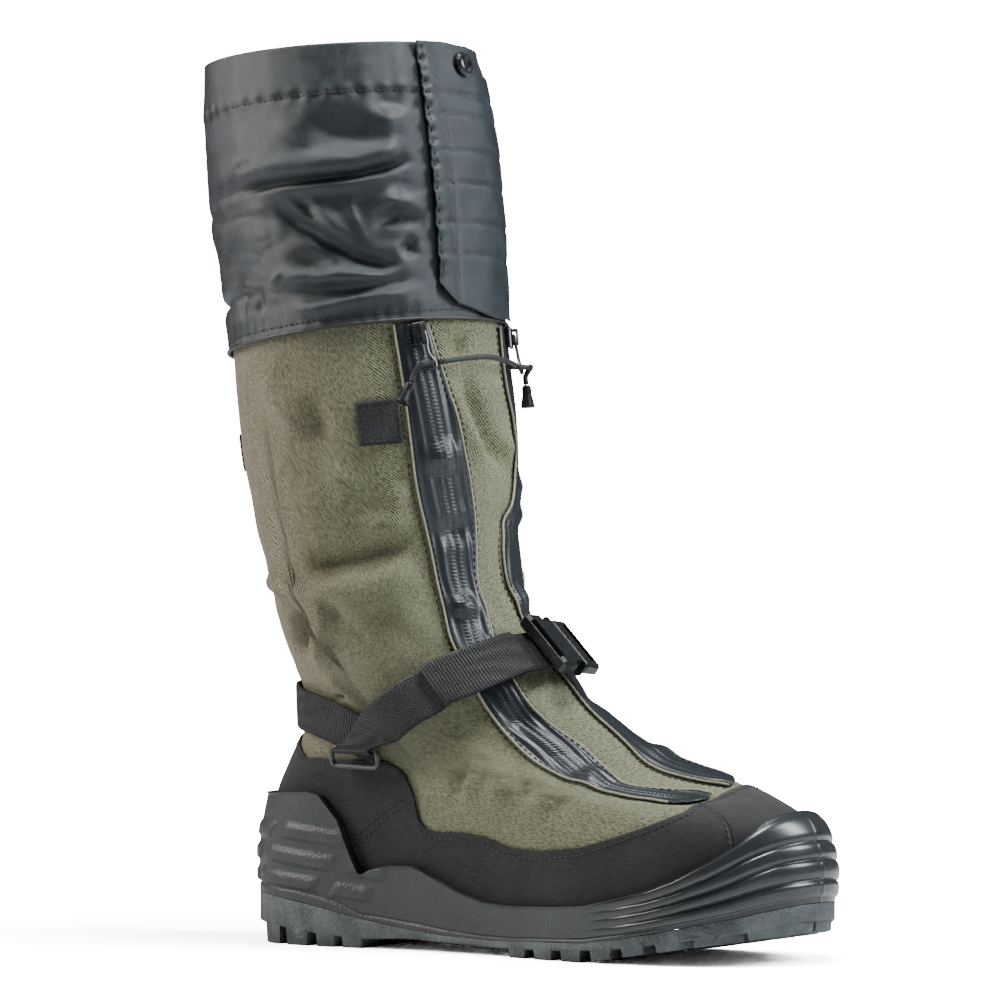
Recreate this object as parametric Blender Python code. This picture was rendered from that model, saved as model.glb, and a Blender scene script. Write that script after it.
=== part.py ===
"""Winter overshoe: a rubber galosh with a tall fabric shaft, for the right foot.

Frame: metres, +Z up, +X towards the toe, +Y towards the inner (medial) side of the leg.
The origin is the centre of the heel's tread, on the floor. The shaft leans back a little above it.

Every fabric piece lies on one form, the last. The last is a stack of rings that starts at the feather
line, rises over the heel and the vamp, and becomes the round shaft. A place on it is an angle round the
leg, in degrees (0 at the toe and shin, 180 at the heel, minus on the outer side), and a ring number.
"""

import math
from functools import lru_cache

import bmesh
import bpy
from mathutils import Matrix, Vector

# Driving sizes
SOLE_LENGTH = 0.340
HEEL_BACK = 0.0525        # from the heel's back end to the origin
BALL_WIDTH = 0.119
HEEL_STACK = 0.027        # the sole's height at the heel, up to the parting line
TOE_SPRING = 0.017
TOE_SWING = 0.006         # how far the toe's tip turns to the inner side
INSTEP_HEIGHT = 0.185
SHAFT_DIAMETER = 0.147
SHAFT_CENTRE = 0.023      # the shaft's axis in front of the origin, at the instep's height
SHAFT_LEAN = 0.125        # how far the shaft's axis goes back for each metre that it rises
COLLAR_FOOT = 0.3235      # the nylon collar's lower edge, on the shaft's axis
COLLAR_TOP = 0.475        # the nylon collar's upper edge

# Walls and the gaps between layers
GAP = 0.0003
UPPER_WALL = 0.0018
RAND_WALL = 0.0012
COLLAR_WALL = 0.0012
TAPE_WALL = 0.0010
TAPE_LIFT = 0.0009         # the tapes' clearance over the canvas
WEBBING = 0.0016
SHELL_WALL = 0.0037
SHELL_FLOOR = 0.0055
INSOLE_WALL = 0.0040

# Where each layer lies outside the last
RAND_INSIDE = GAP
RAND_OUTSIDE = RAND_INSIDE + RAND_WALL
SHELL_INSIDE = RAND_OUTSIDE + 3 * GAP
SHELL_OUTSIDE = SHELL_INSIDE + SHELL_WALL
COLLAR_OUTSIDE = GAP + COLLAR_WALL

# Driving sizes of the small pieces
WEBBING_WIDTH = 0.025
COLLAR_HEM = 0.027
COLLAR_LAP = 0.010        # how far the canvas goes on inside the collar
ZIP_COIL_WIDTH = 0.0070
ZIP_COIL_HEIGHT = 0.0008
RIB_HEIGHT = 0.0022
COUNTER_HEIGHT = 0.082
PANEL_HEIGHT = 0.0010
SNAP_DIAMETER = 0.0135
SNAP_HEIGHT = 0.0035
CORD_DIAMETER = 0.0030
RING_WIRE = 0.0030
PATCH_WIDTH = 0.0232
PATCH_HEIGHT = 0.0200
HOOK_PATCHES = (("hook_patch_lateral", -52.5), ("hook_patch_back", -159.0))
PATCH_UP = 0.2715          # the height of the patches' middle
FLAP_WALL = 0.0014
STRAP_LIFT = 0.0021        # the straps' clearance over the canvas
FRONT_LIFT = STRAP_LIFT + WEBBING + 5 * GAP
RING_LENGTH = 0.0320
RING_DEPTH = 0.0130
RING_TURN = RING_WIRE / 2 + GAP + WEBBING / 2
PULL_LENGTH = 0.0200
PULL_WIDTH = 0.0046
PULL_WIRE = 0.0015
PULL_TILT = 0.12          # how far a pull's lower end stands out, for each metre of its length
SLOT_HEIGHT = 0.0034       # the middle of a slider's slot above the zip
KEEPER_WIDTH = 0.014
BUCKLE_WIDTH = 0.0400
BUCKLE_LENGTH = 0.0340
BUCKLE_HEIGHT = 0.0085

LAST_HALF_WIDTH = BALL_WIDTH / 2 - SHELL_OUTSIDE

# The foot's rings. back and front: where the ring meets the heel and the toe or vamp, as shares of
# SOLE_LENGTH from the heel's back end. back_up and front_up: heights, as shares of INSTEP_HEIGHT.
# The widths are fullness at five places along the ring, as shares of the last's half width at the ball.
# roll: how much the vamp's inner side stands higher, for each metre of width.
FOOT_RINGS = (
    # back   front  back_up front_up heel   ankle  waist  ball   toe   roll
    (0.006, 0.984, 0.130, 0.150, 1.46, 0.82, 0.78, 1.18, 1.62, 0.00),
    (0.008, 0.984, 0.290, 0.270, 1.50, 0.87, 0.85, 1.18, 1.60, 0.00),
    (0.026, 0.966, 0.430, 0.370, 1.51, 0.91, 0.92, 1.12, 1.40, 0.00),
    (0.052, 0.908, 0.525, 0.432, 1.48, 0.94, 0.94, 1.03, 1.12, 0.08),
    (0.078, 0.835, 0.615, 0.464, 1.44, 0.98, 0.92, 0.94, 0.92, 0.26),
    (0.084, 0.722, 0.725, 0.515, 1.38, 1.04, 0.92, 0.88, 0.80, 0.34),
    (0.066, 0.640, 0.820, 0.600, 1.35, 1.11, 0.97, 0.86, 0.78, 0.28),
    (0.040, 0.540, 0.945, 0.750, 1.34, 1.18, 1.09, 0.96, 0.90, 0.12),
    (0.018, 0.430, 1.125, 1.000, 1.32, 1.27, 1.22, 1.18, 1.12, 0.00),
)
# The shaft's rings: height as a share of the way from the instep to the collar's top, then depth and
# width as shares of SHAFT_DIAMETER. square is 1 where a ring is square to the shaft's axis, 0 where level.
SHAFT_RINGS = (
    # up    depth  width  square
    (0.280, 0.985, 0.985, 1.00),
    (0.475, 0.990, 0.985, 1.00),
    (0.665, 1.030, 1.015, 1.00),
    (0.830, 1.040, 1.020, 0.80),
    (1.000, 0.985, 0.950, 0.50),
)
TOP_RING = len(FOOT_RINGS) + len(SHAFT_RINGS) - 1

# The sole along its length. parting: the top of the outsole, as a share of HEEL_STACK. plate: the thickness of
# the outsole above its lugs. tread: how far the lugs stay off the floor, as a share of TOE_SPRING.
SOLE_PROFILE = (
    # along  parting plate  tread
    (0.00, 1.000, 0.55, 0.52),
    (0.03, 0.995, 0.60, 0.12),
    (0.06, 0.975, 0.60, 0.00),
    (0.14, 0.860, 0.58, 0.00),
    (0.25, 0.590, 0.42, 0.00),
    (0.34, 0.430, 0.20, 0.30),
    (0.41, 0.345, 0.16, 0.24),
    (0.49, 0.305, 0.15, 0.10),
    (0.55, 0.305, 0.15, 0.00),
    (0.70, 0.380, 0.17, 0.00),
    (0.77, 0.500, 0.21, 0.22),
    (0.85, 0.690, 0.25, 0.47),
    (0.93, 0.900, 0.30, 0.72),
    (1.00, 1.160, 0.35, 1.00),
)
# The top edge of the rubber shell, seen from the side, as shares of SOLE_LENGTH and of COUNTER_HEIGHT.
SHELL_RIM = (
    # along  up
    (-0.05, 0.940),
    (0.030, 0.950),
    (0.160, 1.000),
    (0.183, 0.985),
    (0.218, 0.825),
    (0.238, 0.600),
    (0.254, 0.470),
    (0.275, 0.515),
    (0.315, 0.548),
    (0.362, 0.548),
    (0.402, 0.478),
    (0.450, 0.395),
    (0.500, 0.338),
    (0.550, 0.325),
    (0.640, 0.335),
    (0.700, 0.352),
    (0.758, 0.405),
    (0.808, 0.462),
    (0.848, 0.530),
    (0.890, 0.630),
    (0.918, 0.720),
    (0.950, 0.860),
    (0.968, 0.905),
    (1.050, 0.930),
)
# The top edge of the black rand, seen from the side, in the same shares. It stops at the toe cap.
RAND_EDGE = (
    # along  up
    (-0.05, 1.370),
    (0.080, 1.370),
    (0.110, 1.290),
    (0.140, 1.215),
    (0.180, 1.220),
    (0.308, 1.215),
    (0.338, 1.160),
    (0.356, 1.070),
    (0.362, 0.900),
    (0.370, 0.810),
    (0.395, 0.770),
    (0.455, 0.775),
    (0.500, 0.750),
    (0.545, 0.690),
    (0.605, 0.678),
    (0.685, 0.710),
    (0.755, 0.790),
    (0.805, 0.865),
    (0.840, 0.930),
    (0.848, 1.600),
    (1.050, 1.700),
)
TOE_CAP_SEAM = 29.0       # the angle where the toe cap meets the rand

# Both edges of each zip's tape as places on the last, from the collar down to the toe cap
LATERAL_ZIP = (
    # outer  ring   inner  ring
    (-43.0, 9.98, -28.5, 9.98),
    (-41.2, 9.40, -22.5, 9.40),
    (-40.6, 8.95, -17.8, 8.95),
    (-40.0, 8.65, -13.8, 8.65),
    (-37.2, 8.37, -12.4, 8.42),
    (-36.5, 8.15, -15.0, 8.15),
    (-38.0, 7.87, -16.0, 7.87),
    (-44.8, 7.43, -22.0, 7.50),
    (-51.1, 6.78, -30.0, 6.95),
    (-54.1, 6.24, -29.9, 6.44),
    (-54.3, 5.72, -25.0, 5.95),
    (-52.7, 5.07, -26.5, 5.30),
    (-50.0, 4.45, -29.5, 4.75),
    (-45.3, 4.05, -24.0, 4.50),
    (-40.5, 3.62, -11.0, 4.28),
    (-38.5, 3.25, -9.0, 4.05),
)
MEDIAL_ZIP = (
    (39.0, 9.98, 18.1, 9.98),
    (41.0, 9.40, 18.6, 9.40),
    (47.0, 8.95, 25.9, 8.95),
    (47.0, 8.70, 26.0, 8.70),
    (36.0, 8.42, 9.0, 8.42),
    (30.0, 8.15, 5.0, 8.18),
    (32.0, 7.87, 10.0, 7.90),
    (34.0, 7.43, 11.0, 7.50),
    (34.0, 6.78, 8.0, 6.95),
    (34.0, 6.24, 5.0, 6.44),
    (36.0, 5.72, 5.0, 5.95),
    (32.0, 5.07, 0.0, 5.30),
    (30.0, 4.45, 1.0, 4.75),
    (30.0, 4.20, 4.0, 4.40),
    (32.0, 4.00, 7.0, 4.15),
    (32.0, 3.80, 8.0, 4.00),
)
SLIDER_DROP = 0.0077       # from the collar's lower edge down to the middle of a slider
# Each zip's slider: its angle on the last, and how far it is turned in its plane
LATERAL_SLIDER = (-33.0, 6.0)
MEDIAL_SLIDER = (26.0, -4.0)
# The pull cord below the collar's edge: angle, drop and distance outside the last
CORD_MIDDLE = (-4.0, 0.0225, 0.0085)
LATERAL_CORD_END = ((-39.0, 0.0345, 0.0080), (-43.0, 0.0440, 0.0085))
MEDIAL_CORD_END = ((31.0, 0.0345, 0.0095), (31.0, 0.0480, 0.0095))
# The front flap: an angle, its lower edge in rings above the collar's, and its top edge in rings below
FLAP_EDGES = (
    (-22.0, 0.34, 0.00),
    (-20.0, 0.26, 0.00),
    (-14.0, 0.14, 0.00),
    (-7.0, 0.10, 0.00),
    (1.0, 0.05, 0.02),
    (9.0, 0.02, 0.02),
    (17.0, 0.02, 0.06),
    (25.0, 0.04, 0.30),
    (33.0, 0.04, 0.34),
)
# The middle lines of the straps, as places on the last
HEEL_STRAP = ((-113.0, 4.32), (-121.5, 4.53), (-127.1, 4.65), (-137.6, 4.74), (-156.0, 4.76), (-180.0, 4.78))
FRONT_STRAP = ((-120.2, 4.10), (-112.0, 4.60), (-102.0, 5.28), (-93.0, 5.83), (-83.0, 6.27), (-72.4, 6.59),
               (-62.2, 6.87), (-43.9, 7.14), (-22.2, 7.33), (-4.0, 7.38))
# The bar of the ring that each front strap turns round: two places that it lies along
RING_BAR = ((-131.0, 3.95), (-109.4, 4.24))
BUCKLE_PLACE = (6.0, 7.29, -6.0)

RUBBER = ("moulded rubber", (0.035, 0.038, 0.040), 0.55, 0.0)
MIDSOLE_RUBBER = ("moulded shell rubber", (0.045, 0.047, 0.050), 0.45, 0.0)
CANVAS = ("olive canvas", (0.21, 0.20, 0.14), 0.80, 0.0)
RAND_CLOTH = ("black softshell", (0.022, 0.023, 0.024), 0.85, 0.0)
NYLON = ("coated nylon", (0.050, 0.060, 0.065), 0.45, 0.0)
TAPE = ("zip tape", (0.045, 0.055, 0.062), 0.50, 0.0)
STRAP = ("webbing", (0.018, 0.018, 0.019), 0.75, 0.0)
PLASTIC = ("acetal", (0.016, 0.016, 0.017), 0.35, 0.0)
ENAMEL = ("black enamelled metal", (0.020, 0.021, 0.022), 0.20, 0.6)
FOAM = ("insole foam", (0.06, 0.06, 0.06), 0.90, 0.0)


def material(finish):
    name, colour, roughness, metallic = finish
    found = bpy.data.materials.get(name)
    if found:
        return found
    made = bpy.data.materials.new(name)
    made.use_nodes = True
    shader = made.node_tree.nodes["Principled BSDF"]
    shader.inputs["Base Color"].default_value = (*colour, 1)
    shader.inputs["Roughness"].default_value = roughness
    shader.inputs["Metallic"].default_value = metallic
    return made


def link(bm, name, finish, recalculate=True):
    """Makes a finished bmesh an object."""
    if recalculate:
        bmesh.ops.recalc_face_normals(bm, faces=bm.faces)
    mesh = bpy.data.meshes.new(name)
    bm.to_mesh(mesh)
    bm.free()
    mesh.materials.append(material(finish))
    mesh.shade_smooth()
    mesh.set_sharp_from_angle(angle=math.radians(40))
    made = bpy.data.objects.new(name, mesh)
    bpy.context.scene.collection.objects.link(made)
    return made


def catmull(points, at):
    """The point at a real-numbered place in a row of points, on a smooth curve through them."""
    last = len(points) - 1
    i = min(max(int(at), 0), last - 1)
    t = at - i
    a, b, c, d = (points[min(max(k, 0), last)] for k in (i - 1, i, i + 1, i + 2))
    if i == 0:
        a = b * 2 - c
    if i + 2 > last:
        d = c * 2 - b
    return (b * 2 + (c - a) * t + (a * 2 - b * 5 + c * 4 - d) * t * t
            + (b * 3 - a - c * 3 + d) * t * t * t) / 2


def read_table(table, at, column=1):
    """A table's column at a place given in its first column, with straight runs between the rows."""
    rows = sorted(table)
    if at <= rows[0][0]:
        return rows[0][column]
    for low, high in zip(rows, rows[1:]):
        if at <= high[0]:
            share = (at - low[0]) / (high[0] - low[0])
            return low[column] + share * (high[column] - low[column])
    return rows[-1][column]


def spread(low, high, count):
    return [low + (high - low) * i / (count - 1) for i in range(count)]


def ease(at, start, end):
    t = min(max((at - start) / (end - start), 0.0), 1.0)
    return t * t * (3 - 2 * t)


def x_of(along):
    return along * SOLE_LENGTH - HEEL_BACK


def along_of(x):
    return (x + HEEL_BACK) / SOLE_LENGTH


def centre_y(x):
    """The sole's middle line, which turns to the inner side at the toe."""
    return TOE_SWING * max(x / x_of(1.0), 0.0) ** 2


def parting(x):
    return HEEL_STACK * read_table(SOLE_PROFILE, along_of(x), 1)


def plate_bottom(x):
    along = along_of(x)
    return parting(x) - HEEL_STACK * read_table(SOLE_PROFILE, along, 2)


def tread(x):
    return TOE_SPRING * read_table(SOLE_PROFILE, along_of(x), 3)


def shell_floor(x):
    return parting(x) + SHELL_FLOOR


def feather(x):
    return shell_floor(x) + 3 * GAP


def foot_ring_point(row, angle):
    back, front, back_up, front_up = row[:4]
    share = (1 + math.cos(angle)) / 2
    x = x_of(back + share * (front - back))
    across = math.sin(angle) * catmull(row[4:9], share * 4) * LAST_HALF_WIDTH
    z = (back_up + share * (front_up - back_up)) * INSTEP_HEIGHT + row[9] * across * share ** 2
    if row is FOOT_RINGS[0]:
        z = feather(x)
    return Vector((x, centre_y(x) + across, z))


def shaft_ring_point(row, angle):
    up, depth, width, square = row
    radius = SHAFT_DIAMETER / 2
    height = INSTEP_HEIGHT + up * (COLLAR_TOP - INSTEP_HEIGHT)
    axis_x = SHAFT_CENTRE - SHAFT_LEAN * (height - INSTEP_HEIGHT)
    forward = math.cos(angle) * radius * depth
    return Vector((axis_x + forward, math.sin(angle) * radius * width,
                   height + SHAFT_LEAN * square * forward))


@lru_cache(maxsize=None)
def ring_points(degrees):
    """The points where the rings cross one meridian, the last's line at one angle."""
    angle = math.radians(degrees)
    return ([foot_ring_point(row, angle) for row in FOOT_RINGS]
            + [shaft_ring_point(row, angle) for row in SHAFT_RINGS])


def smooth_point(degrees, ring):
    return catmull(ring_points(degrees), ring)


def smooth_normal(degrees, ring):
    """The direction straight out of the last."""
    step = 0.02
    up = smooth_point(degrees, min(ring + step, TOP_RING)) - smooth_point(degrees, max(ring - step, 0))
    across = smooth_point(degrees + 0.5, ring) - smooth_point(degrees - 0.5, ring)
    return across.cross(up).normalized()


def ring_where(degrees, below, lowest=0.0, highest=TOP_RING):
    """The ring number where a meridian leaves the region that below(point) tells."""
    low, high = lowest, highest
    for _ in range(24):
        middle = (low + high) / 2
        if below(smooth_point(degrees, middle)):
            low = middle
        else:
            high = middle
    return low


def ring_at_height(degrees, z):
    return ring_where(degrees, lambda point: point.z < z)


def shaft_ring_at(z):
    """The ring number at a height on the shaft's axis."""
    heights = [INSTEP_HEIGHT + row[0] * (COLLAR_TOP - INSTEP_HEIGHT) for row in SHAFT_RINGS]
    first = len(FOOT_RINGS)
    return read_table([(height, first + i) for i, height in enumerate(heights)], z)


@lru_cache(maxsize=None)
def cloth_rows(degrees):
    """The rows of the canvas's facets on a meridian: under the rand, above it, and inside the collar."""
    rand_top = ring_where(degrees, side_edge(RAND_EDGE), 0.05, 7.5)
    over = shaft_ring_at(COLLAR_FOOT) - 0.05
    rows = spread(0, rand_top, RAND_ROWS)
    rows += [rand_top + share * (over - rand_top) for share in CLOTH_SHARES]
    return tuple(rows) + tuple(spread(over, TOP_RING, 6))


@lru_cache(maxsize=None)
def cloth_points(degrees):
    return [smooth_point(degrees, ring) for ring in cloth_rows(degrees)]


def last_point(degrees, ring):
    """A place on the canvas's facets, which the layers above it keep clear of."""
    rows = cloth_rows(degrees)
    points = cloth_points(degrees)
    for i in range(len(rows) - 1):
        if ring <= rows[i + 1]:
            return points[i].lerp(points[i + 1], (ring - rows[i]) / (rows[i + 1] - rows[i]))
    return points[-1]


def on_last(degrees, ring, out=0.0):
    """A point at a distance outside the last, or inside it where that is negative."""
    normal = smooth_normal(degrees, ring)
    if ring < 0.6:
        normal = Vector((normal.x, normal.y, normal.z * ring / 0.6)).normalized()
    return last_point(degrees, ring) + normal * out


def side_edge(table):
    """Tells whether a point is below an edge line that is drawn in the side view."""
    def below(point):
        return point.z < COUNTER_HEIGHT * read_table(table, along_of(point.x))
    return below


def skin(name, rings, finish, ends="cap"):
    """A solid from closed rings of points. Its ends are flat caps, a ladder of rungs from side to
    side, or the first and last ring joined. The outer half of each ring and the inner one are cut into
    triangles the same way, so layers of cloth stay parallel."""
    bm = bmesh.new()
    loops = [[bm.verts.new(point) for point in ring] for ring in rings]
    count = len(loops[0])
    pairs = list(zip(loops, loops[1:]))
    if ends == "join":
        pairs.append((loops[-1], loops[0]))
    for low, high in pairs:
        for i in range(count):
            j = (i + 1) % count
            a, b, c, d = low[i], low[j], high[j], high[i]
            if i < count // 2:
                bm.faces.new((a, b, c))
                bm.faces.new((a, c, d))
            else:
                bm.faces.new((a, b, d))
                bm.faces.new((b, c, d))
    if ends == "cap":
        bm.faces.new(loops[0])
        bm.faces.new(loops[-1])
    if ends == "ladder":
        for loop in (loops[0], loops[-1]):
            for i in range(count // 2):
                corners = [loop[i], loop[i + 1], loop[count - i - 1], loop[(count - i) % count]]
                bm.faces.new(list(dict.fromkeys(corners)))
    return link(bm, name, finish)


def sheet_between(name, columns, finish, inside, outside, closed=False):
    """A layer on the last. Each column is an angle and its row of ring numbers. inside and outside
    give the layer's two depths at a column and a row."""
    rings = []
    for i, (degrees, rows) in enumerate(columns):
        outer = [on_last(degrees, ring, outside(i, j)) for j, ring in enumerate(rows)]
        inner = [on_last(degrees, ring, inside(i, j)) for j, ring in enumerate(rows)]
        rings.append(outer + inner[::-1])
    return skin(name, rings, finish, "join" if closed else "cap")


# Angles of the meridians round one half of the last, from toe to heel
HALF_ANGLES = (0, 8, 15, 22, TOE_CAP_SEAM, 36, 44, 53, 62, 71, 80, 88, 95, 100, 104, 110, 118, 126, 134, 142,
               151, 160, 170, 180)
ANGLES = (*HALF_ANGLES, *[360 - a for a in reversed(HALF_ANGLES[1:-1])])
RAND_ROWS = 6
# The canvas's rows above the rand, as shares of the way up to the collar
CLOTH_SHARES = (0.07, 0.14, 0.22, 0.30, 0.37, 0.44, 0.50, 0.55, 0.60, 0.65, 0.70, 0.76, 0.83, 0.91)


def upper():
    """The hollow canvas upper, from the feather line up to an edge inside the collar."""
    edge = shaft_ring_at(COLLAR_FOOT + COLLAR_LAP)
    columns = []
    for degrees in ANGLES:
        rows = [ring for ring in cloth_rows(degrees) if ring < edge - 0.1]
        columns.append((degrees, (*rows, edge)))
    return sheet_between("upper", columns, CANVAS, lambda i, j: -UPPER_WALL, lambda i, j: 0.0, closed=True)


def rand():
    """The black cloth rand round the foot, from one side of the toe cap round the heel to the other."""
    slit = math.degrees(2 * GAP / BALL_WIDTH)
    stops = [a for a in ANGLES if TOE_CAP_SEAM < a < 360 - TOE_CAP_SEAM]
    columns = [(a, cloth_rows(a)[:RAND_ROWS]) for a in (TOE_CAP_SEAM + slit, *stops, 360 - TOE_CAP_SEAM - slit)]
    return sheet_between("rand", columns, RAND_CLOTH, lambda i, j: RAND_INSIDE, lambda i, j: RAND_OUTSIDE)


def toe_cap():
    """The black cloth patch over the toe, between the two seams."""
    stops = [a for a in HALF_ANGLES if 0 < a <= TOE_CAP_SEAM]
    angles = [*[-a for a in reversed(stops)], 0, *stops]
    columns = [(a, cloth_rows(a)[:RAND_ROWS]) for a in angles]
    return sheet_between("toe_cap", columns, RAND_CLOTH, lambda i, j: RAND_INSIDE, lambda i, j: RAND_OUTSIDE)


# Rows of the shell's outer wall: the share of the way up from the parting line to the rim, at the side
# and at the toe, how proud the toe's ribs stand there, and how much of the wall's thickness is left.
SHELL_ROWS = (
    # side  toe   rib  wall
    (0.00, 0.00, 0.0, 1.00),
    (0.05, 0.07, 0.0, 1.00),
    (0.16, 0.09, 0.9, 1.00),
    (0.27, 0.27, 1.0, 1.00),
    (0.33, 0.30, 0.0, 1.00),
    (0.40, 0.32, 0.9, 1.00),
    (0.50, 0.49, 1.0, 1.00),
    (0.56, 0.52, 0.0, 1.00),
    (0.62, 0.54, 0.9, 1.00),
    (0.72, 0.70, 0.9, 1.00),
    (0.78, 0.73, 0.0, 1.00),
    (0.84, 0.76, 0.7, 1.00),
    (0.93, 0.93, 0.4, 1.00),
    (1.00, 1.00, 0.0, 0.60),
)
# Columns of the shell, closest where the counter's front edge drops
SHELL_ANGLES = (0, 8, 15, 22, 29, 36, 44, 53, 62, 71, 80, 88, 95, 100, 104, 107, 110, 114, 117, 119.5, 122,
                126, 130, 134, 142, 151, 160, 170)


def shell_point(degrees, share, out, foot_line=parting):
    """A point on the shell's wall: a share of the way from the parting line, or the floor, to the rim."""
    rim = ring_where(degrees, side_edge(SHELL_RIM), 0.0, 4.0)
    top = smooth_point(degrees, rim)
    foot = smooth_point(degrees, 0)
    low = foot_line(on_last(degrees, 0, SHELL_OUTSIDE).x)
    height = low + share * (top.z - low)
    if height >= foot.z:
        return on_last(degrees, min(ring_at_height(degrees, height), rim), out)
    below = on_last(degrees, 0, out)
    return Vector((below.x, below.y, height))


def shell_solid():
    """The rubber galosh: outer wall with the toe's ribs, rim, inner wall and floor."""
    angles = [*SHELL_ANGLES, 180, *[360 - a for a in reversed(SHELL_ANGLES[1:])]]
    rings = []
    for side, toe, rib, wall in SHELL_ROWS:
        ring = []
        for degrees in angles:
            toe_share = ease(math.cos(math.radians(degrees)), 0.50, 0.86)
            share = side + (toe - side) * toe_share
            out = SHELL_INSIDE + SHELL_WALL * wall + RIB_HEIGHT * rib * toe_share
            ring.append(shell_point(degrees, share, out))
        rings.append(ring)
    for share in (1.0, 0.80, 0.60, 0.40, 0.20):
        rings.append([shell_point(degrees, share, SHELL_INSIDE, shell_floor) for degrees in angles])
    inner = [on_last(degrees, 0, SHELL_INSIDE) for degrees in angles]
    rings.append([Vector((p.x, p.y, shell_floor(p.x))) for p in inner])
    return skin("shell", rings, MIDSOLE_RUBBER, "ladder")


# The raised panels on the heel's sides: the angles where each row of panels starts and ends, at its top
# and bottom edge, and the heights of its top edge at the back and at the front, as shares of COUNTER_HEIGHT.
HEEL_PANELS = (
    # start_top end_top start_low end_low back_up front_up
    (127.5, 142.0, 131.5, 145.5, 0.815, 0.755),
    (133.5, 148.5, 137.5, 152.5, 0.665, 0.600),
    (139.0, 154.5, 143.0, 157.5, 0.515, 0.460),
)
PANEL_TALL = 0.0085
PANEL_GROOVE = 3.2        # degrees between a side panel and the back one


def heel_panel(corners, heights):
    """One raised panel: corners are the angles at the top and low edges, heights those of its top edge."""
    rings = []
    for step in spread(0, 1, 5):
        ring = []
        for level in (1, 0):
            start, end = corners[0] if level else corners[1]
            degrees = start + (end - start) * step
            z = heights[0] + (heights[1] - heights[0]) * step - (0 if level else PANEL_TALL)
            ring.append((degrees, ring_at_height(degrees, z)))
        (top, top_ring), (low, low_ring) = ring
        proud, sunk = SHELL_OUTSIDE + PANEL_HEIGHT, SHELL_OUTSIDE - SHELL_WALL / 2
        rings.append([on_last(top, top_ring, sunk), on_last(top, top_ring, proud),
                      on_last(low, low_ring, proud), on_last(low, low_ring, sunk)])
    return skin("panel cutter", rings, MIDSOLE_RUBBER)


def heel_panels():
    made = []
    for start_top, end_top, start_low, end_low, back_up, front_up in HEEL_PANELS:
        front, back = front_up * COUNTER_HEIGHT, back_up * COUNTER_HEIGHT
        for side in (1, -1):
            corners = ((side * start_top, side * end_top), (side * start_low, side * end_low))
            made.append(heel_panel(corners, (front, back)))
        top, low = end_top + PANEL_GROOVE, end_low + PANEL_GROOVE
        made.append(heel_panel(((top, 360 - top), (low, 360 - low)), (back, back)))
    return made


def unite(target, tools):
    """Joins the tools to the target and hides them."""
    group = bpy.data.collections.new(target.name + " tools")
    for tool in tools:
        group.objects.link(tool)
        tool.hide_render = True
        tool.display_type = "WIRE"
    joined = target.modifiers.new("unite", "BOOLEAN")
    joined.operation = "UNION"
    joined.operand_type = "COLLECTION"
    joined.collection = group
    return target


def shell():
    return unite(shell_solid(), heel_panels())


def sole_outline(degrees, out):
    return on_last(degrees, 0, out)


def edge_at(along):
    """The sole's two edges at a share of its length: outer side, then inner side."""
    target = x_of(along)
    edges = []
    for side in (-1, 1):
        low, high = 0.0, 180.0
        for _ in range(22):
            middle = (low + high) / 2
            if sole_outline(side * middle, SHELL_OUTSIDE).x > target:
                low = middle
            else:
                high = middle
        edges.append(sole_outline(side * low, SHELL_OUTSIDE).y)
    return edges


def sole_point(along, across, inset=0.0):
    """A place in plan: a share of the length, and -1 to 1 from the outer to the inner edge."""
    outer, inner = edge_at(along)
    half = max((inner - outer) / 2 - inset, 0.0)
    return Vector((x_of(along), (outer + inner) / 2 + across * half, 0.0))


# The lugs in plan: the shares of the length where each starts and ends, then across, from -1 to 1.
HEEL_LUGS = (
    # start  end   from   to
    (0.004, 0.040, -0.80, -0.10),
    (0.004, 0.040, 0.10, 0.80),
    (0.118, 0.196, -0.36, 0.36),
    (0.060, 0.102, -0.36, 0.36),
    (0.212, 0.250, -0.40, 0.40),
)
HEEL_SIDE_LUGS = ((0.052, 0.092), (0.106, 0.152), (0.168, 0.204), (0.217, 0.255))
FOREFOOT_SIDE_LUGS = ((0.545, 0.580), (0.598, 0.636), (0.654, 0.694), (0.712, 0.750), (0.768, 0.806),
                      (0.824, 0.862), (0.880, 0.916))
FOREFOOT_LUGS = (
    (0.560, 0.592, -0.38, 0.38),
    (0.612, 0.672, -0.34, 0.34),
    (0.690, 0.724, -0.38, 0.38),
    (0.742, 0.776, -0.38, 0.38),
    (0.794, 0.828, -0.38, 0.38),
    (0.846, 0.880, -0.38, 0.38),
    (0.900, 0.928, -0.38, 0.38),
    (0.944, 0.994, -0.92, -0.08),
    (0.944, 0.994, 0.08, 0.92),
)
LUG_TAPER = 0.0008


def lug(start, end, low, high):
    """One tread lug: a short block that follows the sole's edge and stands down to the tread line."""
    alongs = spread(start, end, 3)
    plan = [(along, low) for along in alongs] + [(along, high) for along in reversed(alongs)]
    middle = (start + end) / 2
    rings = []
    for level in (1, 0):
        ring = []
        for along, across in plan:
            inset = 0.0002 if level else LUG_TAPER
            shift = 0.0 if level else LUG_TAPER / SOLE_LENGTH * (1 if along < middle else -1)
            point = sole_point(along + shift, across, inset)
            root = plate_bottom(point.x) + 0.0012
            point.z = root if level else tread(point.x)
            ring.append(point)
        rings.append(ring)
    return skin("lug tool", rings, RUBBER)


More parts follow.
